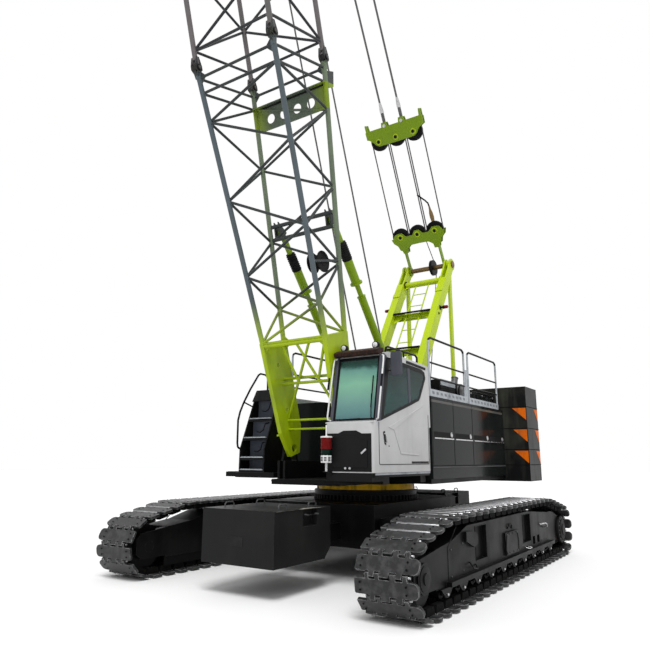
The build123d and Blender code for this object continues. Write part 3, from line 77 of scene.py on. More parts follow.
def plug(tree, node, links):
    """Each input of a node given an output socket or a value."""
    for target, source in links:
        if isinstance(source, bpy.types.NodeSocket):
            tree.links.new(source, node.inputs[target])
        else:
            node.inputs[target].default_value = source


def add(tree, kind, links=(), **settings):
    """A node with its settings, and with what its inputs are given."""
    node = tree.nodes.new(kind)
    for key, value in settings.items():
        if hasattr(node, key) and key not in node.inputs:
            setattr(node, key, value)
        else:
            node.inputs[key].default_value = value
    plug(tree, node, links)
    return node


def calc(tree, operation, *terms):
    """The output of one sum: each term is an output socket or a number."""
    return add(tree, "ShaderNodeMath", enumerate(terms), operation=operation).outputs[0]


def ranged(tree, source, low, high, to_low=0.0, to_high=1.0):
    """A value carried from one range to another, and held between its ends."""
    ends = {"From Min": low, "From Max": high, "To Min": to_low, "To Max": to_high}
    return add(tree, "ShaderNodeMapRange", [("Value", source)], **ends).outputs[0]


def blank_material(name):
    """A material that uses nodes, with its tree and its shader."""
    material = bpy.data.materials.new(name)
    material.use_nodes = True
    return material, material.node_tree, material.node_tree.nodes["Principled BSDF"]


sky = bpy.data.worlds.new("sky")
sky.use_nodes = True
bpy.context.scene.world = sky
rays = add(sky.node_tree, "ShaderNodeLightPath").outputs
seen = calc(sky.node_tree, "MAXIMUM", rays["Is Camera Ray"], rays["Is Glossy Ray"])
seen = calc(sky.node_tree, "MAXIMUM", seen, rays["Is Transmission Ray"])
brightness = ranged(sky.node_tree, seen, 0.0, 1.0, 0.66, 1.0)
background = sky.node_tree.nodes["Background"]
plug(sky.node_tree, background, [("Strength", brightness), ("Color", (1, 1, 1, 1))])

sun = bpy.data.objects.new("sun", bpy.data.lights.new("sun", "SUN"))
sun.data.energy = 2.1
sun.data.angle = radians(25)
sun.matrix_world = Vector((0.55, 0.35, 1.1)).to_track_quat("Z", "Y").to_matrix().to_4x4()
bpy.context.collection.objects.link(sun)

floor_mesh = bpy.data.meshes.new("floor")
floor_mesh.from_pydata(
    [(-90, -90, -0.002), (90, -90, -0.002), (90, 90, -0.002), (-90, 90, -0.002)], [], [(0, 1, 2, 3)]
)
floor = bpy.data.objects.new("floor", floor_mesh)
bpy.context.collection.objects.link(floor)
floor_paint, floor_tree, floor_shader = blank_material("floor_paint")
plug(floor_tree, floor_shader, [("Base Color", (0.93, 0.93, 0.93, 1)), ("Roughness", 0.9)])
floor_mesh.materials.append(floor_paint)


# Track shoes: cast steel plates with hinge knuckles on both edges, joined by pins into one loop
# over the links that the wheels run on. The paint is long gone and the faces are scuffed.

track_middle = 2.511
end_wheels = ((3.400, 2.600, 1), (-3.310, -2.300, -1))
end_radius, top_height, arc_steps = 0.500, 1.191, 16
shoe_count, ear_gap, shoe_depth = 58, 0.095, 0.045


def slab(outline, low, high):
    """Straight extrusion: the outline's points (a, b) at c = low and again at c = high."""
    outline = np.asarray(outline, float)
    count = len(outline)
    points = np.concatenate([np.column_stack((outline, np.full(count, c))) for c in (low, high)])
    index = np.arange(count)
    after = np.roll(index, -1)
    sides = np.stack((index, after, after + count, index + count), axis=-1).tolist()
    return points, sides + [index[::-1].tolist(), (index + count).tolist()]


def joined(shapes):
    """Several shapes as one: each one's face indices move up by the points before it."""
    points, faces, first = [], [], 0
    for shape_points, shape_faces in shapes:
        points.append(shape_points)
        faces += [[index + first for index in face] for face in shape_faces]
        first += len(shape_points)
    return np.concatenate(points), faces


def turned_to(shape, origin, a, b, c):
    """A shape with its own axes a, b, c laid along three directions from an origin."""
    return np.asarray(shape[0]) @ np.array((a, b, c), float) + np.asarray(origin, float), shape[1]


def repeated(shape, origins, turns):
    """Copies of a shape, one at each origin: point = origin + its coordinates times that turn's rows."""
    points = np.einsum("pk,nkj->npj", shape[0], turns) + np.asarray(origins)[:, None]
    count = len(shape[0])
    faces = [[index + count * n for index in face] for n in range(len(origins)) for face in shape[1]]
    return points.reshape(-1, 3), faces


def mirrored(shape):
    """The same shape on the machine's other side."""
    return shape[0] * (1, -1, 1), [face[::-1] for face in shape[1]]


def piece(name, shapes, material, body, bevel=0.0, steps=1, corner=40):
    """One object from its shapes, with rounded edges, smooth up to the corner's angle, on its body
    (a piece that two bodies share has None here)."""
    points, faces = joined(shapes)
    mesh = bpy.data.meshes.new(name)
    mesh.from_pydata(points.tolist(), [], faces)
    model = bmesh.new()
    model.from_mesh(mesh)
    bmesh.ops.recalc_face_normals(model, faces=model.faces)
    model.to_mesh(mesh)
    model.free()
    mesh.shade_smooth()
    mesh.set_sharp_from_angle(angle=radians(corner))
    mesh.materials.append(material)
    made = bpy.data.objects.new(name, mesh)
    bpy.context.collection.objects.link(made)
    if bevel:
        rounding = made.modifiers.new("rounded edges", "BEVEL")
        rounding.width = bevel
        rounding.segments = steps
        rounding.limit_method = "ANGLE"
        rounding.angle_limit = radians(corner)
        rounding.harden_normals = True
    if body:
        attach(made, body)
    return made


def group(name, inputs, outputs):
    """An empty shader group with its named sockets: inputs as (name, kind, value)."""
    tree = bpy.data.node_groups.new(name, "ShaderNodeTree")
    for label, kind, value in inputs:
        made = tree.interface.new_socket(label, in_out="INPUT", socket_type="NodeSocket" + kind)
        made.default_value = value
    for label, kind in outputs:
        tree.interface.new_socket(label, in_out="OUTPUT", socket_type="NodeSocket" + kind)
    return tree, tree.nodes.new("NodeGroupInput"), tree.nodes.new("NodeGroupOutput")


# Grime settles in patches and runs down in streaks: two noises, the second drawn out upright,
# cover the colour with dirt where they are high.
grime, given, result = group(
    "grime",
    [
        ("Colour", "Color", (0.5, 0.5, 0.5, 1)),
        ("Dirt Colour", "Color", (0.2, 0.18, 0.15, 1)),
        ("Patches", "Float", 0.3),
        ("Streaks", "Float", 0.2),
        ("Scale", "Float", 2.0),
    ],
    [("Colour", "Color"), ("Dirt", "Float"), ("Grain", "Float")],
)
here = add(grime, "ShaderNodeTexCoord").outputs["Object"]
scaled = [("Scale", given.outputs["Scale"])]
patches = add(grime, "ShaderNodeTexNoise", [("Vector", here)] + scaled, Detail=8.0, Roughness=0.62)
upright = add(grime, "ShaderNodeMapping", [("Vector", here)], Scale=(4.0, 4.0, 0.35)).outputs[0]
streaks = add(grime, "ShaderNodeTexNoise", [("Vector", upright)] + scaled, Detail=5.0, Roughness=0.6)
patch_share = calc(grime, "MULTIPLY", ranged(grime, patches.outputs[0], 0.45, 0.7), given.outputs["Patches"])
streak_mask = ranged(grime, streaks.outputs[0], 0.5, 0.75)
dirt_share = calc(grime, "MULTIPLY_ADD", streak_mask, given.outputs["Streaks"], patch_share)
dirtied = add(
    grime, "ShaderNodeMix", [(0, dirt_share), (6, given.outputs["Colour"]),
                             (7, given.outputs["Dirt Colour"])],
    data_type="RGBA", clamp_factor=True,
)
grain = add(grime, "ShaderNodeTexNoise", [("Vector", here)], Scale=90.0, Detail=3.0)
plug(grime, result, [("Colour", dirtied.outputs[2]), ("Dirt", dirt_share), ("Grain", grain.outputs[0])])

# Worn edges: where a normal rounded over a few millimetres leaves the face's own, the edge is
# bare, and a noise breaks its line up.
worn, given, result = group(
    "worn_edges",
    [("Width", "Float", 0.012), ("Amount", "Float", 1.0)],
    [("Mask", "Float")],
)
rounded = add(worn, "ShaderNodeBevel", [("Radius", given.outputs["Width"])], samples=4).outputs[0]
flat = add(worn, "ShaderNodeNewGeometry").outputs["Normal"]
turn_away = add(worn, "ShaderNodeVectorMath", [(0, rounded), (1, flat)], operation="DOT_PRODUCT")
edge = ranged(worn, turn_away.outputs["Value"], 0.995, 0.86)
here = add(worn, "ShaderNodeTexCoord").outputs["Object"]
chips = add(worn, "ShaderNodeTexNoise", [("Vector", here)], Scale=14.0, Detail=6.0)
share = calc(worn, "MULTIPLY", edge, ranged(worn, chips.outputs[0], 0.35, 0.6))
plug(worn, result, [("Mask", calc(worn, "MULTIPLY", share, given.outputs["Amount"]))])


def laid_over(tree, share, under, over):
    """A colour laid over another by a share: each colour is three numbers or an output socket."""
    under, over = (
        colour if isinstance(colour, bpy.types.NodeSocket) else (*colour, 1) for colour in (under, over)
    )
    return add(tree, "ShaderNodeMix", [(0, share), (6, under), (7, over)], data_type="RGBA").outputs[2]


def weathered(name, colour, roughness, dirt, patches, streaks, scale, bump, **more):
    """Painted or bare metal under grime: its dirt is rougher, and more gives edges, gloss and metal."""
    material, tree, shader = blank_material(name)
    cover = add(tree, "ShaderNodeGroup", node_tree=grime)
    plug(tree, cover, [
        ("Colour", (*colour, 1)), ("Dirt Colour", (*dirt, 1)), ("Patches", patches), ("Streaks", streaks),
        ("Scale", scale),
    ])
    coloured = cover.outputs["Colour"]
    if more.get("bare"):
        edges = add(tree, "ShaderNodeGroup", node_tree=worn)
        plug(tree, edges, [("Width", more.get("edge", 0.012)), ("Amount", more.get("wear", 0.8))])
        coloured = laid_over(tree, edges.outputs["Mask"], coloured, more["bare"])
    rough = ranged(tree, cover.outputs["Dirt"], 0.0, 1.0, roughness, min(1.0, roughness + 0.35))
    relief = add(tree, "ShaderNodeBump", [("Height", cover.outputs["Grain"])], Strength=0.35, Distance=bump)
    plug(tree, shader, [
        ("Base Color", coloured), ("Roughness", rough), ("Normal", relief.outputs[0]),
        ("Metallic", more.get("metal", 0.0)), ("Specular IOR Level", more.get("shine", 0.08)),
        ("Coat Weight", more.get("coat", 0.0)), ("Coat Roughness", 0.12),
    ])
    return material


track_steel = weathered(
    "track_steel", (0.014, 0.014, 0.015), 0.38, (0.070, 0.070, 0.072), 0.7, 0.1, 9.0, 0.006,
    bare=(0.50, 0.50, 0.51), edge=0.012, wear=0.7, shine=0.3,
)
pin_steel = weathered("pin_steel", (0.35, 0.35, 0.36), 0.3, (0.08, 0.075, 0.07), 0.5, 0.0, 20.0, 0.001,
                      metal=1.0)
# Near black that paints shade where parts lie in shadow: under the shoes, in bolt holes, inside the track
# frames and in the slabs' joins.
painted_shade_black = weathered("painted_shade_black", (0.004, 0.004, 0.004), 0.8, (0.01, 0.01, 0.01), 0.2, 0.0, 10.0, 0.001)


def loop_line(inset):
    """The loop in XZ: an arc round each end wheel from below to the tangent through its bend point,
    cos and sin of evenly stepped angles, and the bend points, where the top run starts to fall."""
    rows = []
    for wheel, bend, way in end_wheels:
        rise, run = top_height - end_radius, way * (bend - wheel)
        last = np.arctan2(rise, run) - np.arccos(end_radius / np.hypot(run, rise))
        angles = np.linspace(-pi / 2, last, arc_steps + 1)
        radius = end_radius - inset
        arc = np.column_stack((wheel + way * radius * np.cos(angles), end_radius + radius * np.sin(angles)))
        knee = (bend - way * inset * np.tan((pi / 2 - last) / 2), top_height - inset)
        rows.append(np.vstack((arc, knee))[::way])
    return np.vstack(rows)


def shoe_frames():
    """Middle, travel and inward direction of each shoe: its chord between two lengths of the loop."""
    line = loop_line(0)
    closed = np.vstack((line, line[:1]))
    lengths = np.concatenate(([0], np.cumsum(np.linalg.norm(np.diff(closed, axis=0), axis=1))))
    pitch = lengths[-1] / shoe_count
    starts = np.arange(shoe_count) * pitch + ear_gap / 2
    ends = starts + pitch - ear_gap
    ends_xz = [np.column_stack([np.interp(at, lengths, closed[:, k]) for k in (0, 1)])
               for at in (starts, ends)]
    middles = (ends_xz[0] + ends_xz[1]) / 2
    travel = ends_xz[1] - ends_xz[0]
    travel /= np.linalg.norm(travel, axis=1)[:, None]
    inward = np.column_stack((-travel[:, 1], travel[:, 0]))
    return pitch, middles, travel, inward


def across(pairs):
    """Rows (x, y, z) from rows (x, z) of the tracks' plane."""
    return np.column_stack((pairs[:, 0], np.zeros(len(pairs)), pairs[:, 1]))


pitch, middles, travel, inward = shoe_frames()
shoe_turns = np.stack((across(travel), np.tile((0.0, 1.0, 0.0), (shoe_count, 1)), across(inward)), axis=1)
shoe_places = across(middles) + (0, track_middle, 0)

ear = (pitch - ear_gap) / 2
round_end = [(0.43 - 0.07 * (1 - cos(a)), (ear - 0.07) + 0.07 * sin(a)) for a in np.linspace(0, pi / 2, 5)]
leading = [(-0.275, -0.225), (-0.140, -0.080), (0.060, 0.135), (0.230, 0.290)]
trailing = [(-0.225, -0.150), (-0.075, 0.050), (0.140, 0.220)]
outline = [(ear - 0.015, -0.43), (ear, -0.415)]
for low, high in leading:
    outline += [(ear, low), (ear + 0.070, low), (ear + 0.070, high), (ear, high)]
outline += [(length, width) for width, length in round_end[::-1]]
outline += [(-length, width) for width, length in round_end]
for low, high in reversed(trailing):
    outline += [(-ear, high), (-ear - 0.062, high), (-ear - 0.062, low), (-ear, low)]
outline += [(-ear, -0.415), (-ear + 0.015, -0.43)]
shoe_lift = 0.0117
plate = slab(outline, shoe_lift, shoe_lift + shoe_depth)
link = joined(
    turned_to(
        slab([(-0.128, 0.044), (0.128, 0.044), (0.100, 0.150), (-0.100, 0.150)], low, high),
        (0, 0, 0), (1, 0, 0), (0, 0, 1), (0, 1, 0),
    )
    for low, high in ((-0.29, -0.205), (-0.06, 0.06), (0.205, 0.29))
)
# The links under the shoes are coloured near black as painted shade beneath the shoes.
left_shoes = repeated(plate, shoe_places, shoe_turns)
left_links = repeated(link, shoe_places, shoe_turns)
for side, shoes, links in (("left", left_shoes, left_links),
                           ("right", mirrored(left_shoes), mirrored(left_links))):
    made = piece("shoes_" + side, [shoes], track_steel, "undercarriage", bevel=0.006)
    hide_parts("track_" + side)
    piece("shoe_links_" + side, [links], painted_shade_black, "undercarriage")


def unit(way):
    """A direction at length one."""
    return np.asarray(way, float) / np.linalg.norm(way)


def skinned(rings):
    """Rings of points joined by quads, with a cap on the first and on the last."""
    count, sides = rings.shape[:2]
    index = np.arange(count * sides).reshape(count, sides)
    after = np.roll(index, -1, axis=1)
    quads = np.stack((index[:-1], after[:-1], after[1:], index[1:]), axis=-1).reshape(-1, 4).tolist()
    return rings.reshape(-1, 3), quads + [index[0][::-1].tolist(), index[-1].tolist()]


def square_to(way):
    """A direction across another one, taken from upright or, where it stands nearly upright, from X."""
    return np.cross(way, (0.0, 0.0, 1.0) if abs(way[2]) < 0.9 else (1.0, 0.0, 0.0))


def lathe(profile, origin, axis, sides=24):
    """A turned shape: rows (radius, reach) of the profile, each swept once round the axis."""
    profile = np.asarray(profile, float)
    axis = unit(axis)
    first = unit(square_to(axis))
    second = np.cross(axis, first)
    angles = np.linspace(0, 2 * pi, sides, endpoint=False)
    spokes = np.cos(angles)[:, None] * first + np.sin(angles)[:, None] * second
    return skinned(profile[:, None, :1] * spokes + profile[:, None, 1:] * axis + np.asarray(origin, float))


# Pins: one bar through the knuckles of each two shoes, with a bright end outside, and black
# discs as painted shade in the bolt holes near both ends of every shoe.

pin = lathe([(0.014, -0.300), (0.020, -0.294), (0.020, 0.308), (0.014, 0.316)], (0, 0, 0), (0, 1, 0), 8)
next_middles = np.roll(shoe_places, -1, axis=0)
joints_at = (shoe_places + next_middles) / 2 + across(inward) * 0.022
left_pins = repeated(pin, joints_at, np.tile(np.eye(3), (shoe_count, 1, 1)))
holes = joined(
    lathe([(0.013, -0.0015), (0.013, 0.004)], (e, w, 0), (0, 0, 1), 8)
    for e, w in ((0.045, -0.345), (-0.045, -0.345), (0.045, 0.275), (-0.045, 0.275))
)
left_holes = repeated(holes, shoe_places, shoe_turns)
for side, pins, bores in (("left", left_pins, left_holes),
                          ("right", mirrored(left_pins), mirrored(left_holes))):
    piece("track_pins_" + side, [pins], pin_steel, "undercarriage")
    piece("shoe_bores_" + side, [bores], painted_shade_black, "undercarriage")


# Track frames: black welded boxes with pockets, a cover over the tensioner, guards round the
# rollers' ends and the drive's round case at the rear; dust dulls the gloss.


def finish(material, *nodes):
    """The material in every slot of each carried-over node."""
    for node in nodes:
        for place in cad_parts[node].material_slots:
            place.material = material


def tube(points, radius, sides=10):
    """A round section carried along a line of points, squared to the mean direction at each point."""
    points = np.asarray(points, float)
    steps = np.diff(points, axis=0)
    steps /= np.linalg.norm(steps, axis=1)[:, None]
    ways = np.vstack((steps[:1], steps[:-1] + steps[1:], steps[-1:]))
    ways /= np.linalg.norm(ways, axis=1)[:, None]
    first = square_to(ways[0])
    firsts = []
    for way in ways:
        first = unit(first - way * (first @ way))
        firsts.append(first)
    firsts = np.array(firsts)
    seconds = np.cross(ways, firsts)
    angles = np.linspace(0, 2 * pi, sides, endpoint=False)
    around = np.cos(angles)[:, None] * firsts[:, None] + np.sin(angles)[:, None] * seconds[:, None]
    return skinned(points[:, None] + radius * around)


def box(low, high):
    """Eight corners between two opposite ones, as a straight extrusion upwards."""
    (x0, y0, z0), (x1, y1, z1) = low, high
    return slab([(x0, y0), (x1, y0), (x1, y1), (x0, y1)], z0, z1)


def side_plate(outline, y_low, y_high):
    """An outline in XZ extruded along Y."""
    return turned_to(slab(outline, y_low, y_high), (0, 0, 0), (1, 0, 0), (0, 0, 1), (0, 1, 0))


def both(shapes):
    """Shapes and their mirror images on the machine's other side."""
    shape = joined(shapes)
    return [shape, mirrored(shape)]


def hexagons(places, radius, height, axis):
    """Hexagonal bolt heads standing along an axis at each place."""
    head = lathe([(radius, -0.002), (radius, height * 0.8), (radius * 0.8, height)], (0, 0, 0), axis, 6)
    return repeated(head, places, np.tile(np.eye(3), (len(places), 1, 1)))


black_paint = weathered(
    "black_paint", (0.0035, 0.0035, 0.0038), 0.38, (0.013, 0.0125, 0.012), 0.45, 0.25, 1.3, 0.0015,
    bare=(0.11, 0.11, 0.115), edge=0.008, wear=0.45,
)
bright_steel = weathered(
    "bright_steel", (0.55, 0.55, 0.56), 0.28, (0.2, 0.19, 0.18), 0.4, 0.1, 8.0, 0.001, metal=0.9,
)
zinc_dull = weathered("zinc_dull", (0.10, 0.10, 0.105), 0.4, (0.04, 0.04, 0.04), 0.5, 0.1, 8.0, 0.001,
                      metal=0.4)
finish(black_paint, "track_frame_left", "track_frame_right", "carbody", "track_rollers", "drive_sprockets")
finish(black_paint, "idler_wheels")
# Two black sheets inside each track frame, among the rollers, are painted shade.
shade_sheets = [box((-2.75, y, 0.150), (3.05, y + 0.012, 0.400)) for y in (2.560, 2.200)]
piece("roller_shade_sheets", both(shade_sheets), painted_shade_black, "undercarriage")

side_y, wheel_z, drive_x, idler_x = 2.780, 0.5, -3.310, 3.400
roller_places = np.linspace(2.750, -2.400, 10)
guard_line = np.array([(-0.190, 0.300), (-0.075, 0.195), (0, 0.175), (0.075, 0.195), (0.190, 0.300)])
guards = [side_plate(guard_line + (x, 0), 2.790, 2.815) for x in roller_places]
pin_line = [(0.019, 2.812), (0.019, 2.826), (0.013, 2.832)]
caps = [lathe(pin_line, (x, 0, 0.2200), (0, 1, 0), 14) for x in roller_places]
piece("roller_guards", both(guards), black_paint, "undercarriage", bevel=0.004)
piece("roller_pins", both(caps), bright_steel, "undercarriage")

cover_edge = [(-0.36, 0.41), (-0.375, 0.56), (-0.33, 0.70), (-0.24, 0.745), (0.16, 0.745), (0.25, 0.70),
              (0.295, 0.56), (0.28, 0.41)]
rims = [tube([(x, side_y + 0.036, z) for x, z in cover_edge], 0.009, 8)]
for front, rear in ((1.120, 1.590), (-1.230, -0.770)):
    corners = [(front, 0.48), (rear, 0.48), (rear, 0.96), (front, 0.96), (front, 0.48)]
    rims.append(tube([(x, side_y, z) for x, z in corners], 0.007, 8))
rims.append(tube([(2.62, side_y, 0.33), (2.62, side_y, 0.78), (2.30, side_y, 1.02)], 0.007, 8))
piece("frame_welds", both(rims), black_paint, "undercarriage")

handle = [(-2.13, 2.785, 0.64), (-2.12, 2.85, 0.66), (-2.06, 2.865, 0.71), (-1.98, 2.865, 0.735),
          (-1.90, 2.85, 0.73), (-1.88, 2.785, 0.715)]
hook_step = [(-1.02, 2.79, 0.40), (-1.02, 2.85, 0.385), (-0.88, 2.85, 0.385), (-0.86, 2.79, 0.40)]
piece(
    "frame_handles", both([tube(handle, 0.012), tube(hook_step, 0.009)]),
    bright_steel, "undercarriage",
)
pipes = [
    tube([(0.10, 2.785, 0.80), (0.06, 2.80, 0.86), (-0.02, 2.80, 0.875), (-0.10, 2.80, 0.85),
          (-0.12, 2.785, 0.79)], 0.010),
    tube([(1.86, 2.785, 0.50), (1.90, 2.83, 0.47), (1.86, 2.84, 0.42), (1.70, 2.84, 0.40),
          (1.62, 2.785, 0.44)], 0.010),
]
piece("frame_pipes", both(pipes), black_paint, "undercarriage")

bolt_places = [(x, side_y, 0.41) for x in np.arange(-2.30, -1.9, 0.12)]
bolt_places += [(x, side_y, z) for x in (-0.30, -0.10, 0.10, 0.22) for z in (0.43, 0.72)]
bolt_places = [(x, y + 0.035 * (-0.38 < x < 0.30), z) for x, y, z in bolt_places]
bolt_places += [(x, side_y, z) for x, z in ((2.52, 0.40), (2.52, 0.74), (2.10, 0.42), (2.10, 0.78))]
bolt_circle = 0.235
for angle in np.linspace(0, 2 * pi, 16, endpoint=False):
    bolt_places.append((drive_x + bolt_circle * cos(angle), 2.838, wheel_z + bolt_circle * sin(angle)))
piece("frame_bolts", both([hexagons(bolt_places, 0.013, 0.012, (0, 1, 0))]), zinc_dull, "undercarriage")
case = [(0.270, 2.782), (0.270, 2.820), (0.262, 2.838), (0.205, 2.838), (0.198, 2.860), (0.120, 2.866),
        (0.112, 2.884), (0.020, 2.884)]
piece(
    "drive_cases", both([lathe(case, (drive_x, 0, wheel_z), (0, 1, 0), 40)]), black_paint, "undercarriage",
    bevel=0.003,
)
hub = [(0.150, 2.804), (0.150, 2.812), (0.075, 2.818), (0.070, 2.832), (0.010, 2.834)]
piece("idler_caps", both([lathe(hub, (idler_x, 0, wheel_z), (0, 1, 0), 32)]), black_paint, "undercarriage")


# Carbody and its two weights: cast blocks hung on arms before and behind, with lifting handles and
# steps, and a blank plate on the front one; rain and mud dull their tops.

weight_paint = weathered(
    "weight_paint", (0.0115, 0.0115, 0.012), 0.42, (0.022, 0.0215, 0.020), 0.5, 0.12, 1.1, 0.002,
    bare=(0.10, 0.10, 0.10), edge=0.008, wear=0.45,
)
finish(weight_paint, "carbody_weights")
plate_blank = weathered("plate_blank", (0.013, 0.013, 0.014), 0.35, (0.03, 0.03, 0.03), 0.4, 0.3, 6.0, 0.0005)
galvanised = weathered(
    "galvanised", (0.42, 0.45, 0.48), 0.42, (0.24, 0.26, 0.28), 0.8, 0.3, 6.0, 0.001, metal=0.2,
)
piece(
    "weight_plate", [box((3.699, -0.10, 0.70), (3.704, 0.12, 0.83))], plate_blank, "undercarriage",
    bevel=0.001,
)
handles = []
for x, y in ((3.30, -0.52), (3.30, 0.52), (2.55, -0.52), (2.55, 0.52)):
    handles.append(tube(
        [(x - 0.10, y, 1.200), (x - 0.10, y, 1.250), (x - 0.07, y, 1.275), (x + 0.07, y, 1.275),
         (x + 0.10, y, 1.250), (x + 0.10, y, 1.200)], 0.011,
    ))
for y in (-0.690, 0.690):
    handles.append(tube(
        [(2.70, y * 0.99, 1.12), (2.70, y * 1.07, 1.12), (2.97, y * 1.07, 1.12), (2.97, y * 0.99, 1.12)],
        0.012,
    ))
handles += [
    (points * (-1, 1, 1), [face[::-1] for face in faces]) for points, faces in list(handles)
]
piece("weight_handles", handles, zinc_dull, "undercarriage")
dull_top = weathered("trodden_top", (0.020, 0.020, 0.019), 0.45, (0.50, 0.48, 0.42), 1.0, 0.0, 4.0, 0.004,
                     shine=0.4)
ends = ((2.42, 3.66), (-3.66, -2.42))
tops = [box((x_low, -0.700, 1.2002), (x_high, 0.700, 1.2035)) for x_low, x_high in ends]
piece("weight_tops", tops, dull_top, "undercarriage")

ring_grease = weathered(
    "ring_grease", (0.85, 0.50, 0.012), 0.35, (0.03, 0.022, 0.008), 1.0, 0.9, 1.6, 0.002,
)
finish(black_paint, "slew_ring")
piece(
    "slew_ring_seal",
    [lathe([(0.962, 1.338), (0.989, 1.342), (0.989, 1.366), (0.962, 1.369)], (0, 0, 0), (0, 0, 1), 96)],
    black_paint, "undercarriage",
)


# Slewing frame: the welded deck that turns on the ring, all sprayed black, with the girders that
# carry boom, winches and gantry. It is its solid, but the inner ears of the boom's foot end at the
# girders' top, so the foot plate and its pin show.

finish(black_paint, "slewing_frame", "engine")
ear_middle, ear_half, ears_rear, girder_top = 0.538, 0.0215, 1.0, 1.900
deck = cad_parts["slewing_frame"].data.copy()
deck_points = np.empty(3 * len(deck.vertices), np.float32)
deck.vertices.foreach_get("co", deck_points)
deck_points = deck_points.reshape(-1, 3)
in_ear = np.abs(np.abs(deck_points[:, 1]) - ear_middle) < ear_half
in_ear &= (deck_points[:, 0] > ears_rear) & (deck_points[:, 2] > girder_top)
deck_points[in_ear, 2] = girder_top
deck.vertices.foreach_set("co", deck_points.ravel())
lowered = bpy.data.objects.new("deck_and_girders", deck)
bpy.context.collection.objects.link(lowered)
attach(lowered, "upperworks")
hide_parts("slewing_frame")
turntable_edge = [(0.9405, 1.385), (0.9450, 1.385), (0.9450, 1.485), (0.9405, 1.485)]
piece("turntable_band", [lathe(turntable_edge, (0, 0, 0), (0, 0, 1), 96)], ring_grease, "upperworks")
steel_drum = weathered("steel_drum", (0.16, 0.16, 0.165), 0.4, (0.05, 0.045, 0.04), 0.7, 0.0, 5.0, 0.001,
                       metal=0.7)
finish(steel_drum, "winch_drums")
deck_bolts = [(x, -0.742, 1.56) for x in np.arange(0.45, 2.0, 0.22)]
piece("deck_bolts", [hexagons(deck_bolts, 0.016, 0.014, (0, -1, 0))], bright_steel, "upperworks")


# Counterweight: five cast slabs stacked between the girders' tails, painted charcoal, rain-marked,
# with signal triangles at their outer corners.

counterweight_paint = weathered(
    "counterweight_paint", (0.008, 0.008, 0.009), 0.34, (0.045, 0.047, 0.036), 0.5, 0.5, 1.5, 0.003,
    bare=(0.08, 0.08, 0.08), edge=0.010, wear=0.4,
)
finish(counterweight_paint, "counterweight_blocks")
signal_orange = weathered(
    "signal_orange", (0.80, 0.150, 0.002), 0.45, (0.12, 0.06, 0.04), 0.5, 0.5, 3.0, 0.0005,
)
block_tops = (1.8165, 2.1605, 2.6415, 3.1355, 3.6005)
# Black lines along the joins of the slabs paint the shade in the gaps between them.
seams = []
outer = [(-3.715, -2.157), (-3.715, 2.157), (-4.625, 2.157), (-4.775, 2.007), (-4.775, -2.007),
         (-4.625, -2.157)]
for top in block_tops[:-1]:
    seams.append(tube([(x, y, top) for x, y in outer + outer[:1]], 0.008, 8))
piece("counterweight_seams", seams, painted_shade_black, "upperworks")


def wedge(corners, lift):
    """A triangle and its copy moved by lift, joined into a thin plate."""
    corners = np.asarray(corners)
    faces = [[0, 1, 2], [5, 4, 3], [0, 3, 4, 1], [1, 4, 5, 2], [2, 5, 3, 0]]
    return np.concatenate((corners, corners + lift)), faces


signals = []
for top in block_tops[1:4]:
    high, low = top - 0.03, top - 0.31
    for way in (1, -1):
        face = [(-3.7135, way * 1.83, high), (-3.7135, way * 2.14, high), (-3.7135, way * 2.14, low)]
        side = [(-4.60, way * 2.1585, high), (-4.30, way * 2.1585, high), (-4.60, way * 2.1585, low)]
        signals += [wedge(face, (0.003, 0, 0)), wedge(side, (0, way * 0.003, 0))]
piece("signal_triangles", signals, signal_orange, "upperworks")


# Machinery housings: folded steel sheet with glossy charcoal doors, each with a black grip strip that paints
# the shade in its recess, a bright moulding and a round lock, over a grey sill under a black strip that
# paints the shade in the gap above it.

housing_paint = weathered(
    "housing_paint", (0.0085, 0.0100, 0.0105), 0.12, (0.028, 0.032, 0.027), 0.4, 0.15, 0.6, 0.0003,
    bare=(0.07, 0.07, 0.07), edge=0.006, wear=0.3, shine=0.06,
)
finish(housing_paint, "housing_left", "housing_right")
rubber = weathered("rubber", (0.008, 0.008, 0.008), 0.65, (0.03, 0.03, 0.03), 0.4, 0.1, 6.0, 0.001)
moulding_steel = weathered("moulding_steel", (0.60, 0.60, 0.61), 0.22, (0.3, 0.3, 0.3), 0.3, 0.1, 8.0,
                           0.0004, metal=0.9)
door_step = 1.003


def on_side(shapes, way):
    """Shapes as they are on the left side, and mirrored on the right."""
    return shapes if way > 0 else [mirrored(shape) for shape in shapes]


for side, way, numbers in (("left", 1, (1, 2, 3, 4)), ("right", -1, (3, 4))):
    for number in numbers:
        edge = 0.332 - door_step * (number - 1)
        front, rear = edge - 0.060, edge - door_step + 0.045
        y = 1.600
        panel = "housing_door_{}_{}".format(side, number)
        finish(housing_paint, panel)
        # The black grip strip paints the shade in the door's grip recess.
        groove = [box((rear, y - 0.003, 2.325), (front, y + 0.0012, 2.425))]
        strip = [box((rear, y - 0.002, 2.296), (front, y + 0.022, 2.320))]
        lock = lathe(
            [(0.050, y), (0.050, y + 0.010), (0.042, y + 0.015), (0.036, y + 0.008), (0.026, y + 0.010),
             (0.018, y + 0.018), (0.004, y + 0.019)],
            (rear + 0.085, 0, 2.385), (0, 1, 0), 24,
        )
        piece(panel + "_grip", on_side(groove, way), rubber, panel)
        piece(panel + "_moulding", on_side(strip, way), moulding_steel, panel, bevel=0.004)
        piece(panel + "_lock", on_side([lock], way), bright_steel, panel, bevel=0.001)

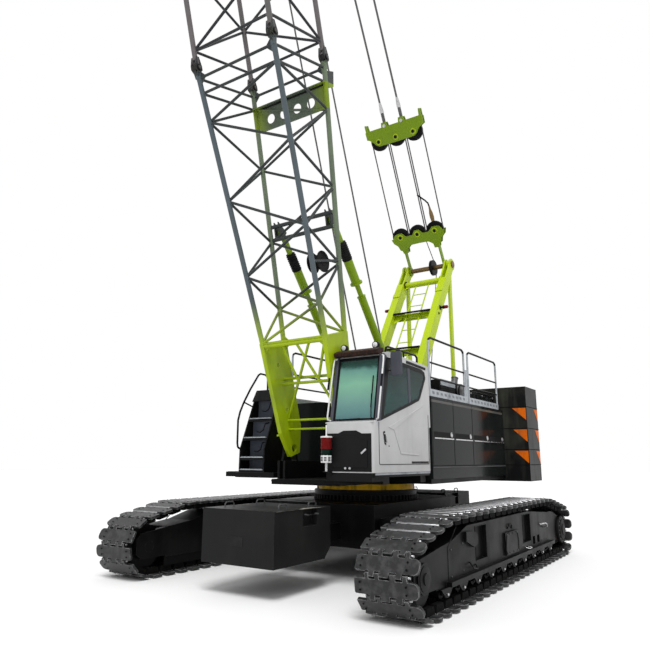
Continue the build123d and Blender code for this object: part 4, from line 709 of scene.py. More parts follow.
sill_grey = weathered("sill_grey", (0.085, 0.087, 0.090), 0.35, (0.04, 0.04, 0.04), 0.4, 0.3, 3.0, 0.0005)
shoulder_brown = weathered("shoulder_brown", (0.075, 0.072, 0.068), 0.30, (0.15, 0.14, 0.10), 0.6, 0.0, 1.6,
                           0.0005)
sills = [box((-3.690, 1.598, 1.780), (0.345, 1.6065, 1.802))]
# A thin black strip above the sill paints the shade in the gap.
gap_shades = [box((-3.690, 1.598, 1.803), (0.345, 1.6015, 1.822))]
shoulder_line = [
    (1.601, 2.955), (1.6035, 2.957), (1.5985, 3.020), (1.570, 3.0625), (1.540, 3.0635), (1.540, 3.0605),
    (1.567, 3.0595), (1.596, 3.018),
]
shoulders = [turned_to(slab(shoulder_line, -3.640, 0.345), (0, 0, 0), (0, 1, 0), (0, 0, 1), (1, 0, 0))]
piece("housing_sills", both(sills), sill_grey, "upperworks", bevel=0.003)
piece("housing_sill_gap_shades", both(gap_shades), rubber, "upperworks")
piece("housing_shoulders", both(shoulders), shoulder_brown, "upperworks")


# Cab: pressed steel in pale grey on a hollow tub, with slate pillars, tinted panes bonded over
# black borders, and a black front panel; its pieces are bolted and glued together.


def pierced(outline, holes, low, high):
    """A flat outline with openings, filled with triangles and extruded from c = low to c = high."""
    loops = [[Vector((a, b, 0)) for a, b in loop] for loop in (outline, *holes)]
    flat = np.array([tuple(corner)[:2] for loop in loops for corner in loop])
    count = len(flat)
    caps = tessellate_polygon(loops)
    faces = [list(cap)[::-1] for cap in caps] + [[index + count for index in cap] for cap in caps]
    first = 0
    for loop in loops:
        index = np.arange(len(loop))
        after = np.roll(index, -1)
        walls = np.stack((index, after, after + count, index + count), axis=-1) + first
        faces += walls.tolist()
        first += len(loop)
    points = np.concatenate([np.column_stack((flat, np.full(count, c))) for c in (low, high)])
    return points, faces


def side_sheet(outline, holes, y_low, y_high):
    """A pierced outline in XZ extruded along Y."""
    return turned_to(pierced(outline, holes, y_low, y_high), (0, 0, 0), (1, 0, 0), (0, 0, 1), (0, 1, 0))


def front_sheet(outline, holes, x_low, x_high):
    """A pierced outline in YZ extruded along X."""
    return turned_to(pierced(outline, holes, x_low, x_high), (0, 0, 0), (0, 1, 0), (0, 0, 1), (1, 0, 0))


def rounded_outline(a_low, a_high, b_low, b_high, radius, steps=6):
    """A rectangle with quarter circles of one radius at its corners."""
    points = []
    for a, b, start in (
        (a_high - radius, b_high - radius, 0), (a_low + radius, b_high - radius, pi / 2),
        (a_low + radius, b_low + radius, pi), (a_high - radius, b_low + radius, 3 * pi / 2),
    ):
        angles = np.linspace(start, start + pi / 2, steps)
        points += np.column_stack((a + radius * np.cos(angles), b + radius * np.sin(angles))).tolist()
    return points


cab_grey = weathered(
    "cab_grey", (0.50, 0.50, 0.505), 0.30, (0.36, 0.36, 0.355), 0.3, 0.25, 1.6, 0.0004, coat=0.3,
)
slate = weathered("slate", (0.065, 0.068, 0.085), 0.4, (0.12, 0.12, 0.14), 0.3, 0.3, 3.0, 0.0005)
trim_black = weathered("trim_black", (0.006, 0.006, 0.007), 0.35, (0.020, 0.020, 0.021), 0.3, 0.3, 4.0,
                       0.0006)
panel_black = weathered("panel_black", (0.0085, 0.0085, 0.0092), 0.42, (0.014, 0.014, 0.015), 0.5, 0.3, 3.0,
                        0.0006)
white_rail = weathered("white_rail", (0.72, 0.72, 0.72), 0.3, (0.4, 0.4, 0.4), 0.3, 0.2, 8.0, 0.0004)


def tinted(name, stops, low, high, clear):
    """Green-tinted glass: its colour runs through stops from one height to another under a film of
    dust, and clear is the share of light let through."""
    material, tree, shader = blank_material(name)
    at = add(tree, "ShaderNodeTexCoord").outputs["Object"]
    height = add(tree, "ShaderNodeSeparateXYZ", [(0, at)]).outputs["Z"]
    film = add(tree, "ShaderNodeTexNoise", [("Vector", at)], Scale=2.6, Detail=5.0).outputs[0]
    span = high - low
    wave = calc(tree, "MULTIPLY_ADD", film, 0.2 * span, height)
    ramp = add(tree, "ShaderNodeValToRGB", [(0, ranged(tree, wave, low + 0.1 * span, high + 0.1 * span))])
    for position, colour in stops:
        ramp.color_ramp.elements.new(position).color = (*colour, 1)
    for end in (0, -1):
        ramp.color_ramp.elements[end].color = (*stops[end][1], 1)
    haze = ranged(tree, film, 0.0, 1.0, 0.02, 0.09)
    plug(tree, shader, [
        ("Base Color", ramp.outputs[0]), ("Roughness", haze), ("Alpha", 1 - clear),
        ("Specular IOR Level", 0.2),
    ])
    return material


# The windscreen's colour stops paint a reflection: the pale green band across its middle is painted
# reflection, and it is darker at the top.
screen_glass_painted_reflection = tinted(
    "screen_glass_painted_reflection",
    [(0.02, (0.09, 0.20, 0.22)), (0.28, (0.16, 0.32, 0.29)), (0.58, (0.22, 0.47, 0.33)),
     (0.78, (0.14, 0.32, 0.27)),
     (0.84, (0.020, 0.080, 0.062)), (0.98, (0.010, 0.040, 0.035))], 2.50, 3.57, 0.22,
)
glass = tinted(
    "glass",
    [(0.02, (0.010, 0.050, 0.045)), (0.35, (0.012, 0.065, 0.058)), (0.65, (0.008, 0.040, 0.038)),
     (0.98, (0.004, 0.018, 0.018))],
    2.52, 3.50, 0.30,
)

cab_front, cab_back, cab_in, cab_out = 2.500, 0.415, 0.725, 1.600
tub_top, cab_floor = 2.485, 1.724
tub = [
    pierced(
        rounded_outline(cab_back, cab_front, cab_in, cab_out, 0.070),
        [rounded_outline(cab_back + 0.045, cab_front - 0.045, cab_in + 0.045, cab_out - 0.045, 0.030)[::-1]],
        cab_floor, tub_top,
    ),
    pierced(rounded_outline(cab_back + 0.02, cab_front - 0.02, cab_in + 0.02, cab_out - 0.02, 0.05), [],
            cab_floor, 1.769),
]
ledge = [
    (cab_front, tub_top - 0.004), (cab_front - 0.012, tub_top + 0.012), (2.345, 2.522), (2.26, 2.522),
    (2.26, tub_top - 0.004),
]
tub.append(side_plate(ledge, cab_in + 0.004, cab_out - 0.004))
left_side = [
    (cab_back, tub_top - 0.002), (2.335, tub_top - 0.002), (2.325, 2.500), (2.140, 3.540), (2.100, 3.612),
    (1.950, 3.640), (0.520, 3.590), (0.448, 3.560), (0.420, 3.480),
]
left_window = [
    (2.225, 2.525), (1.220, 2.838), (0.880, 2.945), (0.830, 2.990), (0.585, 3.360), (0.620, 3.440),
    (0.740, 3.478), (2.010, 3.520), (2.050, 3.490),
]
tub.append(side_sheet(left_side, [left_window], cab_out - 0.045, cab_out))
tub.append(side_sheet(left_side, [left_window], cab_in, cab_in + 0.045))
roof = [(cab_back + 0.003, 3.515), (2.120, 3.565), (2.100, 3.612), (1.950, 3.640), (0.520, 3.590),
        (0.448, 3.560)]
tub.append(side_plate(roof, cab_in + 0.043, cab_out - 0.043))
tub.append(front_sheet(
    [(cab_in + 0.043, tub_top - 0.002), (cab_out - 0.043, tub_top - 0.002), (cab_out - 0.043, 3.52),
     (cab_in + 0.043, 3.52)],
    [[(0.845, 2.70), (0.845, 3.40), (1.480, 3.40), (1.480, 2.70)]], cab_back + 0.003, cab_back + 0.048,
))
made = piece("cab_body", tub, cab_grey, "upperworks", bevel=0.012, steps=3)
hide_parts("cab_shell", "cab_door")

border = [
    side_sheet(
        [(2.262, 2.512), (1.215, 2.818), (0.862, 2.928), (0.800, 2.985), (0.562, 3.350), (0.600, 3.460),
         (0.730, 3.500), (2.020, 3.545), (2.085, 3.500)],
        [[(2.160, 2.588), (1.262, 2.862), (1.282, 3.448), (1.905, 3.470)],
         [(1.190, 2.885), (0.905, 2.972), (0.860, 3.010), (0.632, 3.350), (0.655, 3.405), (0.750, 3.432),
          (1.200, 3.446)]],
        cab_out - 0.006, cab_out + 0.004,
    ),
]
border.append((border[0][0] * (1, -1, 1) + (0, cab_in + cab_out, 0), [face[::-1] for face in border[0][1]]))
screen_foot, screen_top = np.array((2.338, 2.515)), np.array((2.135, 3.560))
rake = screen_top - screen_foot
rake_length = np.linalg.norm(rake)
rake_way, rake_out = rake / rake_length, np.array((rake[1], -rake[0])) / rake_length


def on_rake(outline, holes, low, high):
    """A pierced outline in (y, distance up the windscreen) extruded outwards from its plane."""
    return turned_to(
        pierced(outline, holes, low, high), (screen_foot[0], 0, screen_foot[1]), (0, 1, 0),
        (rake_way[0], 0, rake_way[1]), (rake_out[0], 0, rake_out[1]),
    )


screen_low, screen_high = cab_in + 0.030, cab_out - 0.030
border.append(on_rake(
    [(screen_low, 0.0), (screen_high, 0.0), (screen_high, rake_length), (screen_low, rake_length)],
    [[(0.812, 0.040), (0.812, 1.015), (1.512, 1.015), (1.512, 0.040)]], -0.010, 0.004,
))
made = piece("cab_borders", border, trim_black, "upperworks", bevel=0.003)
made = piece(
    "cab_screen", [on_rake([(0.800, 0.02), (1.525, 0.02), (1.525, 1.03), (0.800, 1.03)], [], -0.006, 0.000)],
    screen_glass_painted_reflection, "upperworks",
)
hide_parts("cab_glass")
front_pane = [(2.180, 2.570), (1.240, 2.850), (1.260, 3.455), (1.925, 3.480)]
rear_pane = [
    (1.210, 2.870), (0.890, 2.965), (0.845, 3.005), (0.620, 3.350), (0.640, 3.410), (0.745, 3.440),
    (1.215, 3.455),
]
panes = [
    side_sheet(outline, [], y - 0.002, y + 0.004) for y in (cab_out - 0.004, cab_in)
    for outline in (front_pane, rear_pane)
]
panes.append(box((0.436, 0.84, 2.69), (0.444, 1.485, 3.41)))
made = piece("cab_panes", panes, glass, "upperworks")
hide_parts("cab_glass")

pillars = []
for y_low, y_high in ((cab_out - 0.052, cab_out + 0.010), (cab_in - 0.006, cab_in + 0.050)):
    pillars.append(side_plate(
        [(2.362, 2.500), (2.262, 2.512), (2.075, 3.470), (2.020, 3.560), (2.120, 3.600), (2.165, 3.560)],
        y_low, y_high,
    ))
pillars.append(side_plate(
    [(1.268, 2.852), (1.184, 2.878), (1.194, 3.452), (1.288, 3.456)], cab_out - 0.020, cab_out + 0.008,
))
piece("cab_pillars", pillars, slate, "upperworks", bevel=0.012, steps=3)

notch = [
    (0.765, 1.740), (1.567, 1.740), (1.567, 2.312), (1.405, 2.312), (1.300, 2.360), (1.070, 2.360),
    (0.975, 2.322), (0.765, 2.322),
]
raised = [
    (0.860, 1.800), (1.500, 1.800), (1.500, 2.215), (1.345, 2.215), (1.275, 2.275), (1.065, 2.275),
    (1.000, 2.225), (0.860, 2.225),
]
front_panel = [
    front_sheet(notch, [], 2.496, 2.506), front_sheet(raised, [], 2.500, 2.516),
]
piece("cab_front_panel", front_panel, panel_black, "upperworks", bevel=0.004, steps=2)
lean = radians(38)
bracket = [
    (1.44 + a * cos(lean) - b * sin(lean), 2.045 + a * sin(lean) + b * cos(lean))
    for a, b in ((-0.055, -0.014), (0.055, -0.014), (0.055, 0.014), (-0.055, 0.014))
]
tows = [front_sheet(bracket, [], 2.512, 2.524)]
for y in (1.115, 1.195):
    tows.append(lathe([(0.020, 2.512), (0.020, 2.528), (0.012, 2.532)], (0, y, 1.790), (1, 0, 0), 14))
piece("cab_front_fittings", tows, bright_steel, "upperworks", bevel=0.001)

seam = [
    tube([(2.320, 1.6005, 2.485), (2.320, 1.6005, 1.870), (2.300, 1.6005, 1.850), (0.530, 1.6005, 1.850),
          (0.510, 1.6005, 1.870), (0.505, 1.6005, 2.700)], 0.006, 8),
    tube([(2.490, 0.770, 1.735), (2.507, 0.770, 2.330)], 0.004, 6),
]
seam.append(box((0.540, 1.597, 1.862), (1.205, 1.6035, 1.895)))
# A black sheet round the door handle paints the shade in its recess.
grip = [
    (2.185, 2.345), (2.130, 2.360), (2.110, 2.290), (2.085, 2.185), (2.100, 2.140), (2.145, 2.160),
    (2.170, 2.260),
]
vent = [(1.330, 3.530), (0.560, 3.500), (0.545, 3.545), (1.320, 3.580)]
seam += [side_sheet(grip, [], 1.597, 1.6040), side_sheet(vent, [], 1.597, 1.6045)]
seam.append(lathe([(0.012, 1.598), (0.012, 1.604), (0.006, 1.604)], (2.000, 0, 2.130), (0, 1, 0), 12))
piece("cab_seams", seam, trim_black, "upperworks")
creases = [side_sheet(line, [], 1.596, 1.6075) for line in (
    [(2.010, 2.425), (1.830, 2.385), (0.690, 2.865)],
    [(1.830, 2.395), (1.600, 2.010), (0.930, 1.985), (0.930, 2.005), (1.585, 2.040), (1.790, 2.395)],
)]
handle = tube([(2.150, 1.604, 2.320), (2.150, 1.632, 2.312), (2.112, 1.632, 2.190), (2.112, 1.604, 2.180)],
              0.010, 10)
piece("cab_creases", [*creases, handle], cab_grey, "upperworks", bevel=0.005, steps=2)
skirt = [pierced(rounded_outline(0.430, 2.482, 0.742, 1.583, 0.060), [], 1.655, 1.7245)]
piece("cab_skirt", skirt, trim_black, "upperworks", bevel=0.004)
piece("cab_skirt_strip", [box((0.460, 1.580, 1.690), (2.420, 1.5915, 1.722))], galvanised, "upperworks",
      bevel=0.003)
piece("cab_base", [box((2.040, 0.745, 1.592), (2.492, 1.560, 1.735))], panel_black, "upperworks", bevel=0.004)

rails = []
for y, out in ((cab_out + 0.012, 0.045), (cab_in + 0.004, -0.006)):
    way = 1 if out > 0 else -1
    top = (2.150, y - 0.02 * way, 3.560)
    rails.append(tube(
        [top, (2.215, y + 0.8 * out, 3.540), (2.235, y + out, 3.470), (2.425, y + out, 2.600),
         (2.420, y + 0.8 * out, 2.545), (2.370, y - 0.02 * way, 2.530)], 0.0135, 12,
    ))
piece("cab_grab_rails", rails, white_rail, "upperworks")
joints = []
for y, way in ((cab_out + 0.012, 1), (cab_in - 0.012, -1)):
    joints.append(tube([(2.286, y + 0.045 * way, 3.235), (2.330, y + 0.045 * way, 3.035)], 0.016, 12))
piece("cab_rail_grips", joints, trim_black, "upperworks")


def off_rake(y, up, out):
    """A point at a width, a distance up the windscreen and a distance out of its plane."""
    at = screen_foot + rake_way * up + rake_out * out
    return at[0], y, at[1]


wipers = [
    tube([off_rake(1.500, 0.02, 0.015), off_rake(1.490, 0.05, 0.040), off_rake(1.468, 0.42, 0.045)], 0.008,
         8),
    tube([off_rake(1.468, 0.20, 0.030), off_rake(1.468, 0.72, 0.030)], 0.010, 8),
    tube([off_rake(0.90, -0.01, 0.02), off_rake(0.93, 0.02, 0.035), off_rake(1.30, 0.03, 0.035)], 0.007, 8),
]
piece("windscreen_wipers", wipers, trim_black, "upperworks")
visor_half = [(2.205, 3.565), (2.255, 3.580), (2.265, 3.640), (2.170, 3.690), (2.060, 3.690),
              (2.060, 3.628), (2.150, 3.590)]
visor = [side_plate(visor_half, cab_in + 0.01, cab_out - 0.03)]
for y in np.arange(cab_in + 0.04, cab_out - 0.05, 0.050):
    visor.append(side_plate([(2.245, 3.575), (2.264, 3.588), (2.272, 3.632), (2.255, 3.645)], y, y + 0.022))
visor_brown = weathered("visor_brown", (0.018, 0.011, 0.009), 0.45, (0.070, 0.028, 0.018), 0.9, 0.0, 16.0,
                        0.002)
piece("cab_visor", visor, visor_brown, "upperworks", bevel=0.008)

lamps, lenses = [], []
for y in (0.790, 1.400):
    lamps.append(lathe(
        [(0.020, 1.930), (0.046, 1.940), (0.058, 1.965), (0.060, 2.035), (0.056, 2.042), (0.050, 2.040)],
        (0, y, 3.765), (1, 0, 0), 24,
    ))
    lamps.append(side_plate([(1.935, 3.630), (2.015, 3.630), (1.990, 3.705), (1.950, 3.705)], y - 0.022, y
                            + 0.022))
    lenses.append(lathe([(0.050, 2.036), (0.034, 2.046), (0.010, 2.050)], (0, y, 3.765), (1, 0, 0), 24))
lamp_glass = weathered("lamp_glass", (0.75, 0.76, 0.78), 0.12, (0.4, 0.4, 0.4), 0.7, 0.0, 30.0, 0.001)
mirror_outline = [(1.640, 3.270), (1.655, 3.245), (1.815, 3.245), (1.835, 3.270), (1.835, 3.600),
                  (1.815, 3.630),
                  (1.665, 3.630), (1.640, 3.605)]
mirrors = [front_sheet(mirror_outline, [], 1.925, 1.975)]
mirror_face = [box((1.921, 1.660, 3.270), (1.926, 1.815, 3.600))]
mirror_arms = [
    tube([(1.950, 1.585, 3.520), (1.950, 1.650, 3.530)], 0.010, 8),
    tube([(1.950, 1.585, 3.330), (1.950, 1.650, 3.330)], 0.010, 8),
]
guard = [tube(
    [(1.960, 1.545, 3.640), (1.950, 1.555, 3.715), (1.900, 1.555, 3.735), (0.850, 1.555, 3.735),
     (0.800, 1.555, 3.700), (0.790, 1.550, 3.600)], 0.018, 12,
)]
guard.append(tube([(1.320, 1.555, 3.600), (1.320, 1.555, 3.735)], 0.012, 10))
made = piece("cab_lamps", lamps + mirror_arms + guard, trim_black, "upperworks", bevel=0.002)
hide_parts("cab_fittings")
piece("cab_lamp_glass", lenses, lamp_glass, "upperworks")
piece("cab_mirror", mirrors, slate, "upperworks", bevel=0.012, steps=3)
mirror_silver = weathered("mirror_silver", (0.75, 0.76, 0.78), 0.04, (0.5, 0.5, 0.5), 0.2, 0.0, 4.0, 0.0001,
                          metal=1.0)
piece("cab_mirror_face", mirror_face, mirror_silver, "upperworks")


# Operator's seat and consoles: foam pads under black woven cloth on a steel pedestal, between two
# moulded consoles with their levers, and a screen on the right pillar.


def woven(name, scale, distortion, dark, light, relief, depth, looks):
    """Threads or strands laid diagonally: their colour and their relief follow one wave."""
    material, tree, shader = blank_material(name)
    at = add(tree, "ShaderNodeTexCoord").outputs["Object"]
    bands = {"Scale": scale, "Distortion": distortion, "bands_direction": "DIAGONAL"}
    wave = add(tree, "ShaderNodeTexWave", [("Vector", at)], **bands).outputs[1]
    bump = add(tree, "ShaderNodeBump", [("Height", wave)], Strength=relief, Distance=depth)
    plug(tree, shader, [("Base Color", laid_over(tree, wave, dark, light)), ("Normal", bump.outputs[0])])
    plug(tree, shader, looks)
    return material


cloth = woven(
    "seat_cloth", 60.0, 1.0, (0.010, 0.010, 0.012), (0.030, 0.030, 0.034), 0.4, 0.002,
    [("Roughness", 0.9), ("Sheen Weight", 0.3)],
)


def pad(middle, half, across, up, out, crown):
    """A pad: a square superellipse whose thickness falls with the fourth power towards its rim,
    so its face is crowned, and a shallow sewn channel runs across it at each third."""
    u = np.linspace(0, 2 * pi, 40, endpoint=False)
    v = np.linspace(-pi / 2, pi / 2, 22)
    squared = lambda value, power: np.sign(value) * np.abs(value) ** power
    flat = squared(np.cos(v), 0.35)[:, None]
    a = half[0] * flat * squared(np.cos(u), 0.45)[None]
    b = half[1] * flat * squared(np.sin(u), 0.45)[None]
    c = half[2] * squared(np.sin(v),
                          0.7)[:, None] * (1 + crown * (1 - (a / half[0]) ** 2) * (1 - (b / half[1]) ** 2))
    c = c * (1 - 0.12 * np.exp(-((np.abs(b / half[1]) - 0.34) / 0.035) ** 2))
    grid = (
        np.asarray(middle) + a[..., None] * np.asarray(across, float) + b[..., None] * np.asarray(up, float)
        + c[..., None] * np.asarray(out, float)
    )
    rows, columns = grid.shape[:2]
    index = np.arange(rows * columns).reshape(rows, columns)
    after = np.roll(index, -1, axis=1)
    quads = np.stack((index[:-1], after[:-1], after[1:], index[1:]), axis=-1)[1:-1].reshape(-1, 4).tolist()
    return grid.reshape(-1, 3), quads + [index[1][::-1].tolist(), index[-2].tolist()]


back_lean = np.array((-0.10, 0.67)) / np.hypot(0.10, 0.67)
seat_pads = (
    ("seat_cushion", pad((1.200, 1.160, 2.215), (0.235, 0.225, 0.062), (0, 1, 0), (1, 0, 0), (0, 0, 1), 0.3)),
    ("seat_back", pad(
        (0.955, 1.160, 2.565), (0.225, 0.310, 0.060), (0, 1, 0), (back_lean[0], 0, back_lean[1]),
        (back_lean[1], 0, -back_lean[0]), 0.3,
    )),
    ("seat_headrest", pad(
        (0.890, 1.160, 2.975), (0.140, 0.085, 0.045), (0, 1, 0), (back_lean[0], 0, back_lean[1]),
        (back_lean[1], 0, -back_lean[0]), 0.2,
    )),
)
for name, shape in seat_pads:
    made = piece(name, [shape], cloth, "upperworks", corner=70)
    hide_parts("cab_interior")
console = [(1.150, 1.769), (1.700, 1.769), (1.740, 2.380), (1.640, 2.430), (1.150, 2.400)]
interior = [
    box((1.060, 1.030, 1.769), (1.340, 1.290, 2.150)), box((0.960, 0.950, 2.130), (1.430, 1.370, 2.165)),
    side_plate(console, 0.785, 0.895), side_plate(console, 1.425, 1.535),
    tube([(0.905, 1.10, 2.85), (0.895, 1.10, 2.93)], 0.010),
    tube([(0.905, 1.22, 2.85), (0.895, 1.22, 2.93)], 0.010),
    box((2.02, 0.800, 2.62), (2.05, 1.000, 2.80)),
]
for y in (0.840, 1.480):
    interior.append(tube([(1.600, y, 2.420), (1.600, y, 2.520), (1.615, y, 2.585)], 0.012))
    interior.append(lathe([(0.010, 0), (0.026, 0.015), (0.028, 0.06), (0.016, 0.09), (0.004, 0.095)],
                          (1.612, y, 2.565), (0.1, 0, 1), 16))
made = piece("cab_consoles", interior, trim_black, "upperworks", bevel=0.006)


# Lamp column: a warning tower of a ribbed red and a green lens on a grey connector block, bolted
# by its stem to the cab's nose.

lens_red = weathered("lens_red", (0.150, 0.008, 0.008), 0.25, (0.10, 0.02, 0.02), 0.4, 0.0, 12.0, 0.001)
lens_green = weathered("lens_green", (0.002, 0.013, 0.009), 0.25, (0.006, 0.018, 0.014), 0.4, 0.0, 12.0,
                       0.001)
column = (2.610, 0.825)
ribs = []
for z in np.arange(2.080, 2.245, 0.0165):
    ribs += [(0.083, z), (0.088, z + 0.004), (0.088, z + 0.010), (0.083, z + 0.014)]
red = lathe([(0.075, 2.076)] + ribs + [(0.083, 2.250), (0.070, 2.252)], (*column, 0), (0, 0, 1), 40)
green = lathe(
    [(0.078, 1.985), (0.082, 1.990), (0.082, 2.070), (0.076, 2.076)], (*column, 0), (0, 0, 1), 40,
)
caps = [
    lathe([(0.070, 2.250), (0.093, 2.253), (0.095, 2.262), (0.090, 2.276), (0.020, 2.282), (0.012, 2.290),
           (0.012, 2.440), (0.008, 2.450)], (*column, 0), (0, 0, 1), 32),
    lathe([(0.060, 1.870), (0.086, 1.872), (0.088, 1.880), (0.088, 1.980), (0.080, 1.986)], (*column, 0),
          (0, 0, 1), 8),
    lathe([(0.018, 1.735), (0.018, 1.872)], (*column, 0), (0, 0, 1), 16),
]
made = piece("column_red_lens", [red], lens_red, "upperworks", corner=25)
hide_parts("lamp_column")
piece("column_green_lens", [green], lens_green, "upperworks")
piece("column_caps", caps, white_rail, "upperworks", bevel=0.002)
label = slab([(-0.020, 0), (0.020, 0), (0.020, 0.024), (-0.020, 0.024)], -0.002, 0.003)
label_radius = 0.0835
squares = []
for angle in np.arange(0, 2 * pi, pi / 4) + pi / 8:
    out, aside = (cos(angle), sin(angle), 0), (-sin(angle), cos(angle), 0)
    spot = (column[0] + label_radius * out[0], column[1] + label_radius * out[1])
    squares += [turned_to(label, (*spot, z), aside, (0, 0, 1), out) for z in (1.900, 1.935)]
piece("column_labels", squares, zinc_dull, "upperworks")
piece("column_bracket", [box((2.500, 0.785, 1.730), (2.655, 0.865, 1.742)),
                         box((2.500, 0.785, 1.690), (2.512, 0.865, 1.742))], trim_black, "upperworks",
                         bevel=0.002)


# Stair tower and right platform: folded black sheet with open treads, blue-grey backs, bent grips
# and toothed galvanised nosings, beside a handrail of bent tube.

finish(black_paint, "access_steps", "right_platform")
recess_blue = weathered("recess_blue", (0.066, 0.076, 0.098), 0.5, (0.110, 0.120, 0.140), 0.5, 0.4, 3.0,
                        0.0006)
stair_low, stair_high = -1.600, -1.000
backs, grips, nosings, teeth = [], [], [], []
for low, high, front in ((1.730, 1.910, 1.905), (1.950, 2.270, 1.900), (2.310, 2.630, 1.830),
                         (2.670, 3.030, 1.680)):
    backs.append(box((front - 0.279, stair_low + 0.026, low + 0.002),
                     (front - 0.271, stair_high - 0.026, high - 0.002)))
    if high - low > 0.25:
        grips.append(tube(
            [(front - 0.275, -1.19, high - 0.03), (front - 0.180, -1.20, high - 0.05),
             (front - 0.150, -1.22, high - 0.17),
             (front - 0.160, -1.30, high - 0.21), (front - 0.160, -1.38, high - 0.20)], 0.011,
        ))
    nosings.append(box((front - 0.060, stair_low + 0.026, low + 0.001),
                       (front + 0.012, stair_high - 0.026, low + 0.012)))
    teeth += [(front - 0.010, y, low + 0.012) for y in np.arange(stair_low + 0.05, stair_high - 0.05, 0.034)]
tooth = lathe([(0.011, 0.0), (0.011, 0.006), (0.007, 0.012)], (0, 0, 0), (0, 0, 1), 6)
nosings.append(repeated(tooth, teeth, np.tile(np.eye(3), (len(teeth), 1, 1))))
piece("stair_backs", backs, recess_blue, "upperworks")
piece("stair_grips", grips, trim_black, "upperworks")
piece("stair_nosings", nosings, galvanised, "upperworks", bevel=0.001)
cap = side_plate([(1.030, 3.200), (1.425, 3.200), (1.545, 3.010), (1.560, 3.020), (1.435, 3.245),
                  (1.030, 3.245)], -1.620, -0.985)
piece("stair_cap", [cap], trim_black, "upperworks", bevel=0.008, steps=2)
hand_y = -1.615
rail = [
    (1.095, hand_y, 3.230), (1.100, hand_y, 3.500), (1.125, hand_y, 3.560), (1.180, hand_y, 3.585),
    (1.330, hand_y, 3.590), (1.390, hand_y, 3.555), (1.620, hand_y, 3.260), (1.800, hand_y, 2.990),
    (1.900, hand_y, 2.800), (1.950, hand_y, 2.640), (1.950, hand_y, 2.220), (1.935, hand_y, 2.150),
    (1.890, hand_y, 2.120),
]
supports = [
    tube(rail, 0.019, 12),
    tube([(1.800, hand_y, 2.990), (1.450, hand_y, 2.895), (1.120, hand_y, 2.800)], 0.014),
    tube([(1.100, hand_y, 3.300), (1.100, hand_y, 2.780)], 0.016),
]
piece("stair_handrail", supports, trim_black, "upperworks")
bars = [box((x - 0.003, -1.620, 1.689), (x + 0.003, -0.765, 1.6985)) for x in np.arange(0.400, 1.040, 0.036)]
bars += [box((x - 0.003, -2.180, 1.689), (x + 0.003, -1.660, 1.6985)) for x in np.arange(0.380, 1.580, 0.036)]
piece("platform_grating", bars, galvanised, "upperworks")


# Guard rails: galvanised posts and toe boards with black bars bent at the corners, bolted to the
# left housing's roof in two runs; the right roof's rails are their mirror images.

rail_y, roof_z = 1.570, 3.060
tubes, bars, boards, pressings = [], [], [], []
for front, rear in ((0.330, -1.420), (-1.640, -3.430)):
    top = roof_z + 1.100
    for end, way in ((front, -1), (rear, 1)):
        tubes.append(tube(
            [(end, rail_y, roof_z), (end, rail_y, top - 0.10), (end + way * 0.01, rail_y, top - 0.06)],
            0.0215, 14,
        ))
        bars.append(tube(
            [(end + way * 0.01, rail_y, top - 0.06), (end + way * 0.03, rail_y, top - 0.03),
             (end + way * 0.10, rail_y, top), ((front + rear) / 2, rail_y, top)], 0.0215, 14,
        ))
    for height in (0.630, 0.350):
        bars.append(tube([(front, rail_y, roof_z + height), (rear, rail_y, roof_z + height)], 0.018, 12))
    boards.append(box(
        (rear - 0.015, rail_y + 0.018, roof_z), (front + 0.015, rail_y + 0.024, roof_z + 0.135),
    ))
    count = int((front - rear - 0.2) / 0.16)
    for x in np.linspace(front - 0.12, rear + 0.12, count):
        pressings.append(side_plate(
            [(x - 0.052, roof_z + 0.050), (x + 0.036, roof_z + 0.050), (x + 0.052, roof_z + 0.098),
             (x - 0.036, roof_z + 0.098)],
            rail_y + 0.022, rail_y + 0.0285,
        ))
    for x in (front, rear):
        tubes.append(box((x - 0.045, rail_y - 0.030, roof_z), (x + 0.045, rail_y + 0.016, roof_z + 0.010)))
tubes.append(box((-1.575, rail_y - 0.010, roof_z), (-1.480, rail_y + 0.010, 3.760)))
piece("rail_bars", both(bars), trim_black, "upperworks")
made = piece("roof_rails", both(tubes + boards), galvanised, "upperworks", bevel=0.002)
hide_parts("guard_rails")
zinc_shade = weathered("zinc_shade", (0.22, 0.23, 0.25), 0.45, (0.15, 0.15, 0.16), 0.6, 0.2, 9.0, 0.0006,
                       metal=0.3)
piece("toe_board_pressings", both(pressings), zinc_shade, "upperworks", bevel=0.002)


# Roof machinery: a galvanised air-filter case with a black louvred face, a lagged silencer with
# its outlet, and the engine's hood with catches.

finish(black_paint, "roof_machinery")
case_top = [box((-1.465, 1.330, 3.385), (-0.735, 1.350, 3.500)),
            box((-1.465, 0.970, 3.500), (-0.735, 1.350, 3.512))]
piece("filter_case_top", case_top, galvanised, "upperworks", bevel=0.004)
louvres = []
for z in np.arange(3.100, 3.370, 0.040):
    louvres.append(box((-1.460, 1.328, z), (-0.740, 1.345, z + 0.022)))
    louvres.append(box((-0.702, 0.975, z), (-0.685, 1.305, z + 0.022)))
bands = [lathe([(0.165, y), (0.174, y + 0.003), (0.174, y + 0.027), (0.165, y + 0.030)], (-1.720, 0, 3.330),
               (0, 1, 0), 40)
         for y in (1.030, 1.185, 1.345)]
outlet = [
    lathe([(0.062, 0.150), (0.070, 0.155), (0.070, 0.330), (0.078, 0.336), (0.078, 0.350), (0.064, 0.350),
           (0.060, 0.300), (0.010, 0.298)],
          (-1.720, 1.200, 3.330), (-0.35, 0, 1), 28),
    lathe([(0.150, 1.398), (0.120, 1.412), (0.040, 1.418)], (-1.720, 0, 3.330), (0, 1, 0), 32),
]
piece("roof_louvres", louvres, trim_black, "upperworks")
piece("silencer_bands", bands + outlet, steel_drum, "upperworks", bevel=0.001)
hood = [box((-3.555, 0.992, 3.372), (-1.945, 1.458, 3.392))]
hood += [box((x, 1.447, 3.105), (x + 0.150, 1.456, 3.340)) for x in np.arange(-3.400, -2.000, 0.230)]
piece("roof_hood", hood, housing_paint, "upperworks", bevel=0.006, steps=2)
